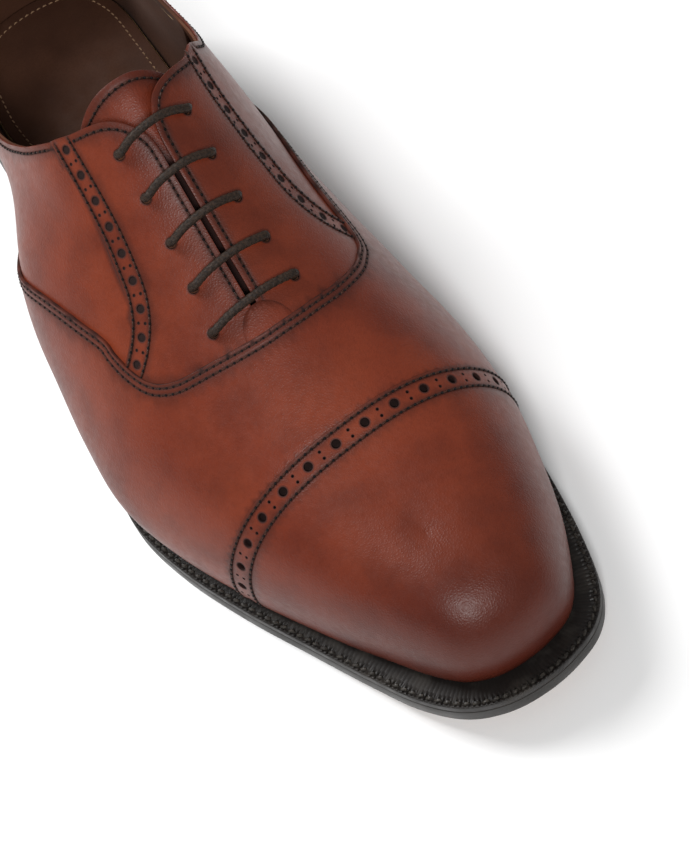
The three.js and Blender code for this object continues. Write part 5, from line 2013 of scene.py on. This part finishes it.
@dataclass
class Bottom:
    """Outsole, wheeled welt with its stitches, heel rand, insole and sock."""

    finishes: Finishes
    stitch_pitch: float = 3.0
    row_in: float = 1.75
    inner_reach: float = 4.0

    def build(self) -> None:
        """Makes the bottom's pieces."""
        self._outsole()
        self._welt()
        self._rand()
        insole = slab("insole_board", feather_loop(4.6), above_sole(SOLE_STACK),
                      above_sole(SOLE_STACK + INSOLE), grid=7.0)
        dress(insole, self.finishes.insole, Body.SHOE, ["insole"])
        self._sock()
        finish_node("cork_filler", self.finishes.cork)
        finish_node("shank", self.finishes.steel)
        finish_node("toe_puff", self.finishes.board)
        finish_node("heel_counter", self.finishes.board)

    def _outsole(self) -> None:
        """The leather outsole, with its closed stitch channel underneath."""
        channel = spaced(edge_loop(6.0, -200, HEEL_BREAST_Y - 3), 2.0, True)
        piece = slab("outsole_leather", edge_loop(0.05), above_sole(0.0),
                     above_sole(OUTSOLE + 0.05), [np.vstack([channel, channel[:1]])],
                     edge_round=0.35, ink=2.4)
        dress(piece, self.finishes.sole, Body.SHOE, ["outsole"])

    def _rim(
        self, name: str, order: list[int], ticks: bool, top: float
    ) -> tuple[bpy.types.Object, Points, Points]:
        """A strip along the sole's edge, wheeled on top if it is the welt.

        Args:
            name: the piece's name.
            order: samples of the outline that it runs along.
            ticks: whether its top is wheeled.
            top: height of its top over the sole's underside.

        Returns:
            The piece, and the points and outward directions of the edge that it follows.
        """
        edge, out = LAST.edge[order], LAST.out[order]
        wide = welt_width(edge[:, 1]) + self.inner_reach
        run = run_along(edge)
        at = np.linspace(0, run[-1], int(run[-1] / 0.4) + 1)
        edge, out = sample(edge, run, at), unit(sample(out, run, at))
        wide = np.interp(at, run, wide)
        low = OUTSOLE + 0.08
        across = [(0.30, low, 0), (0.18, low + 0.25, 0), (0.18, top - 0.7, 0),
                  (0.26, top - 0.35, 0), (0.5, top - 0.08, 0.5), (0.85, top, 1.0),
                  (1.25, top - 0.1, 1.0), (1.75, top - 0.38, 0.6), (2.25, top - 0.1, 1.0),
                  (2.75, top, 1.0), (3.3, top - 0.02, 0.7), (3.9, top - 0.02, 0.2)]
        wave = 0.5 - 0.5 * np.cos(2 * np.pi * at / (self.stitch_pitch / 2))
        notch = np.where(ticks, 0.6 * (1 - wave) ** 3, 0.0)
        rows = []
        for inset, z, share in across:
            inset = np.minimum(inset, wide - 0.3)
            plan = edge - out * inset[:, None]
            height = sole_bottom(plan[:, 1]) + z - notch * share
            rows.append(np.column_stack([plan, height]))
        for inset_share, z in ((1.0, top - 0.02), (1.0, low)):
            plan = edge - out * (wide * inset_share)[:, None]
            rows.append(np.column_stack([plan, sole_bottom(plan[:, 1]) + z]))
        count, sides = len(at), len(rows)
        points = np.stack(rows, 1).reshape(-1, 3)
        faces = []
        for i in range(count - 1):
            for j in range(sides):
                a, b = i * sides + j, i * sides + (j + 1) % sides
                faces.append((a, b, b + sides, a + sides))
        faces.append(tuple(range(sides)))
        faces.append(tuple(reversed([(count - 1) * sides + j for j in range(sides)])))
        piece = new_piece(name, points, faces)
        edit(piece, lambda: bpy.ops.mesh.normals_make_consistent(inside=False))
        round_edges(piece, 0)
        return piece, edge, out

    def _welt(self) -> None:
        """The welt round the forepart with its row of waxed stitches."""
        order = [i for i in LAST.order[Side.INNER][::-1] + LAST.order[Side.OUTER][1:]
                 if LAST.edge[i][1] < HEEL_BREAST_Y]
        top = SOLE_STACK - GAP
        piece, edge, out = self._rim("welt_wheeled", order, True, top)
        dress(piece, self.finishes.welt, Body.SHOE, ["welt"])
        plan = edge - out * self.row_in
        line = np.column_stack([plan, sole_bottom(plan[:, 1]) + top - 0.12])
        up = np.tile([0.0, 0.0, 1.0], (len(line), 1))
        thread = stitch_mesh([(line, up)], self.stitch_pitch, 2.6, 0.58, 0.25)
        fine_piece("welt_stitches", thread, self.finishes.welt_thread)

    def _rand(self) -> None:
        """The plain rand round the heel."""
        heel_order = LAST.order[Side.INNER] + LAST.order[Side.OUTER][::-1][1:]
        order = [i for i in heel_order if LAST.edge[i][1] > HEEL_BREAST_Y + GAP]
        piece = self._rim("heel_rand_leather", order, False, SOLE_STACK - GAP)[0]
        dress(piece, self.finishes.edge, Body.SHOE, ["heel_rand"])

    def _sock(self) -> None:
        """The sock that covers the insole, with one row of pale stitches."""
        base = SOLE_STACK + INSOLE + GAP
        row = spaced(feather_loop(8.5), 2.0, True)
        piece = slab("sock_lining", feather_loop(5.0), above_sole(base), above_sole(base + 1.0),
                     [np.vstack([row, row[:1]])], 4.0)
        dress(piece, self.finishes.sock, Body.SHOE, ["sock"])
        line = np.column_stack([row, sole_bottom(row[:, 1]) + base + 0.85])
        line = np.vstack([line, line[:1]])
        up = np.tile([0.0, 0.0, 1.0], (len(line), 1))
        thread = stitch_mesh([(line, up)], 2.2, 1.5, 0.24)
        fine_piece("sock_stitches", thread, self.finishes.pale_thread)


@dataclass
class Heel:
    """The stacked heel: wedge, two lifts and a rubber top piece."""

    finishes: Finishes
    top_piece: float = 5.5
    lift: float = 5.1
    taper: float = 0.6
    joint: float = 0.04

    def build(self) -> None:
        """Makes the heel's layers."""
        first = self.top_piece + GAP
        second = first + self.lift + GAP
        wedge = second + self.lift + GAP
        layers = [
            ("heel_rubber_piece", "heel_top_piece", "rubber", level(0),
             level(first - self.joint), 3),
            ("heel_lift_lower", "heel_lift_1", "heel_leather", level(first),
             level(second - self.joint), 2),
            ("heel_lift_upper", "heel_lift_2", "heel_leather", level(second),
             level(wedge - self.joint), 1),
            ("heel_wedge_piece", "heel_wedge", "heel_leather", level(wedge),
             above_sole(-self.joint), 0),
        ]
        for name, node, slot, low, high, steps in layers:
            inset = self.taper * steps + 0.1
            loop = edge_loop(inset, HEEL_BREAST_Y + self.taper * steps)
            piece = slab(name, loop, low, high, grid=6.0, edge_round=0.22)
            material = self.finishes.rubber if slot == "rubber" else self.finishes.edge
            dress(piece, material, Body.SHOE, [node])


# ------------------------------------------------------------------ studio


@dataclass(frozen=True)
class Lamp:
    """A square soft light: places and side in row-frame metres, power in watts."""

    name: str
    spot: tuple[float, float, float]
    target: tuple[float, float, float]
    size: float
    power: float


@dataclass
class Studio:
    """Floor, lights and camera, which stands off the throat with it left of and above its axis."""

    azimuth: float = -5.0
    elevation: float = 60.0
    roll: float = -26.0
    distance: float = 900.0
    lens: float = 130.584
    sensor: float = 36.0
    throat: tuple[float, float, float] = (-1.5, -33.0, 74.0)
    throat_left: float = 24.058
    throat_above: float = 28.986
    room_light: float = 0.30
    lamps: tuple[Lamp, ...] = (
        Lamp("key", (-0.20, -0.98, 1.15), (0.0, -0.04, 0.04), 0.34, 12.0),
        Lamp("back", (-0.50, 0.80, 1.15), (0.0, 0.0, 0.05), 0.55, 19.0),
    )

    def axes(self) -> tuple[Points, Points, Points]:
        """The camera's right, up and backward directions."""
        az, el, roll = (math.radians(v) for v in (self.azimuth, self.elevation, self.roll))
        back = np.array([math.sin(az) * math.cos(el), -math.cos(az) * math.cos(el), math.sin(el)])
        right = np.array([math.cos(az), math.sin(az), 0.0])
        up = np.cross(back, right)
        return (right * math.cos(roll) + up * math.sin(roll),
                up * math.cos(roll) - right * math.sin(roll), back)

    def camera(self) -> None:
        """Places the camera and makes it the scene's own."""
        right, up, back = self.axes()
        spot = np.array(self.throat) + back * self.distance
        spot = spot + right * self.throat_left - up * self.throat_above
        data = bpy.data.cameras.new("studio_camera")
        data.lens = self.lens
        data.sensor_width = self.sensor
        data.clip_start = 0.01
        camera = bpy.data.objects.new("studio_camera", data)
        bpy.context.scene.collection.objects.link(camera)
        turn = Matrix((right, up, back)).transposed().to_4x4()
        camera.matrix_world = Matrix.Translation(Vector(to_row(spot[None])[0])) @ turn
        bpy.context.scene.camera = camera

    def floor(self) -> None:
        """A plain pale floor."""
        deselect()
        bpy.ops.mesh.primitive_plane_add(size=8.0, location=(0, 0, -0.0002))
        ground = bpy.context.object
        ground.name = "studio_floor"
        s = Shader("pale_floor")
        s.surface.inputs["Base Color"].default_value = (0.93, 0.93, 0.93, 1.0)
        s.surface.inputs["Roughness"].default_value = 0.9
        s.surface.inputs["Specular IOR Level"].default_value = 0.1
        ground.data.materials.append(s.material)

    @staticmethod
    def light(lamp: Lamp) -> None:
        """Adds one lamp, turned to its target."""
        data = bpy.data.lights.new(lamp.name, "AREA")
        data.size = lamp.size
        data.energy = lamp.power
        item = bpy.data.objects.new(lamp.name, data)
        bpy.context.scene.collection.objects.link(item)
        aim = Vector(lamp.target) - Vector(lamp.spot)
        turn = aim.to_track_quat("-Z", "Y").to_matrix().to_4x4()
        item.matrix_world = Matrix.Translation(Vector(lamp.spot)) @ turn

    def lights(self) -> None:
        """A dim white room with a soft key light and a soft back light."""
        world = bpy.context.scene.world or bpy.data.worlds.new("studio_world")
        bpy.context.scene.world = world
        world.use_nodes = True
        sky = world.node_tree.nodes["Background"]
        sky.inputs["Color"].default_value = (1.0, 1.0, 1.0, 1.0)
        sky.inputs["Strength"].default_value = self.room_light
        for lamp in self.lamps:
            self.light(lamp)
        bpy.context.scene.view_settings.view_transform = "Standard"


# ------------------------------------------------------------------ build


def main() -> None:
    """Builds the shoe in order."""
    logging.basicConfig(level=logging.INFO, format="%(name)s: %(message)s")
    studio = Studio()
    studio.camera()
    finishes = Finishes()
    Lacing(finishes).build()
    lines = CutLines()
    Upper(lines, finishes).build()
    Linings(lines, finishes).build()
    Tongue(finishes).build()
    Bottom(finishes).build()
    Heel(finishes).build()
    studio.floor()
    studio.lights()


if __name__ == "__main__":
    main()
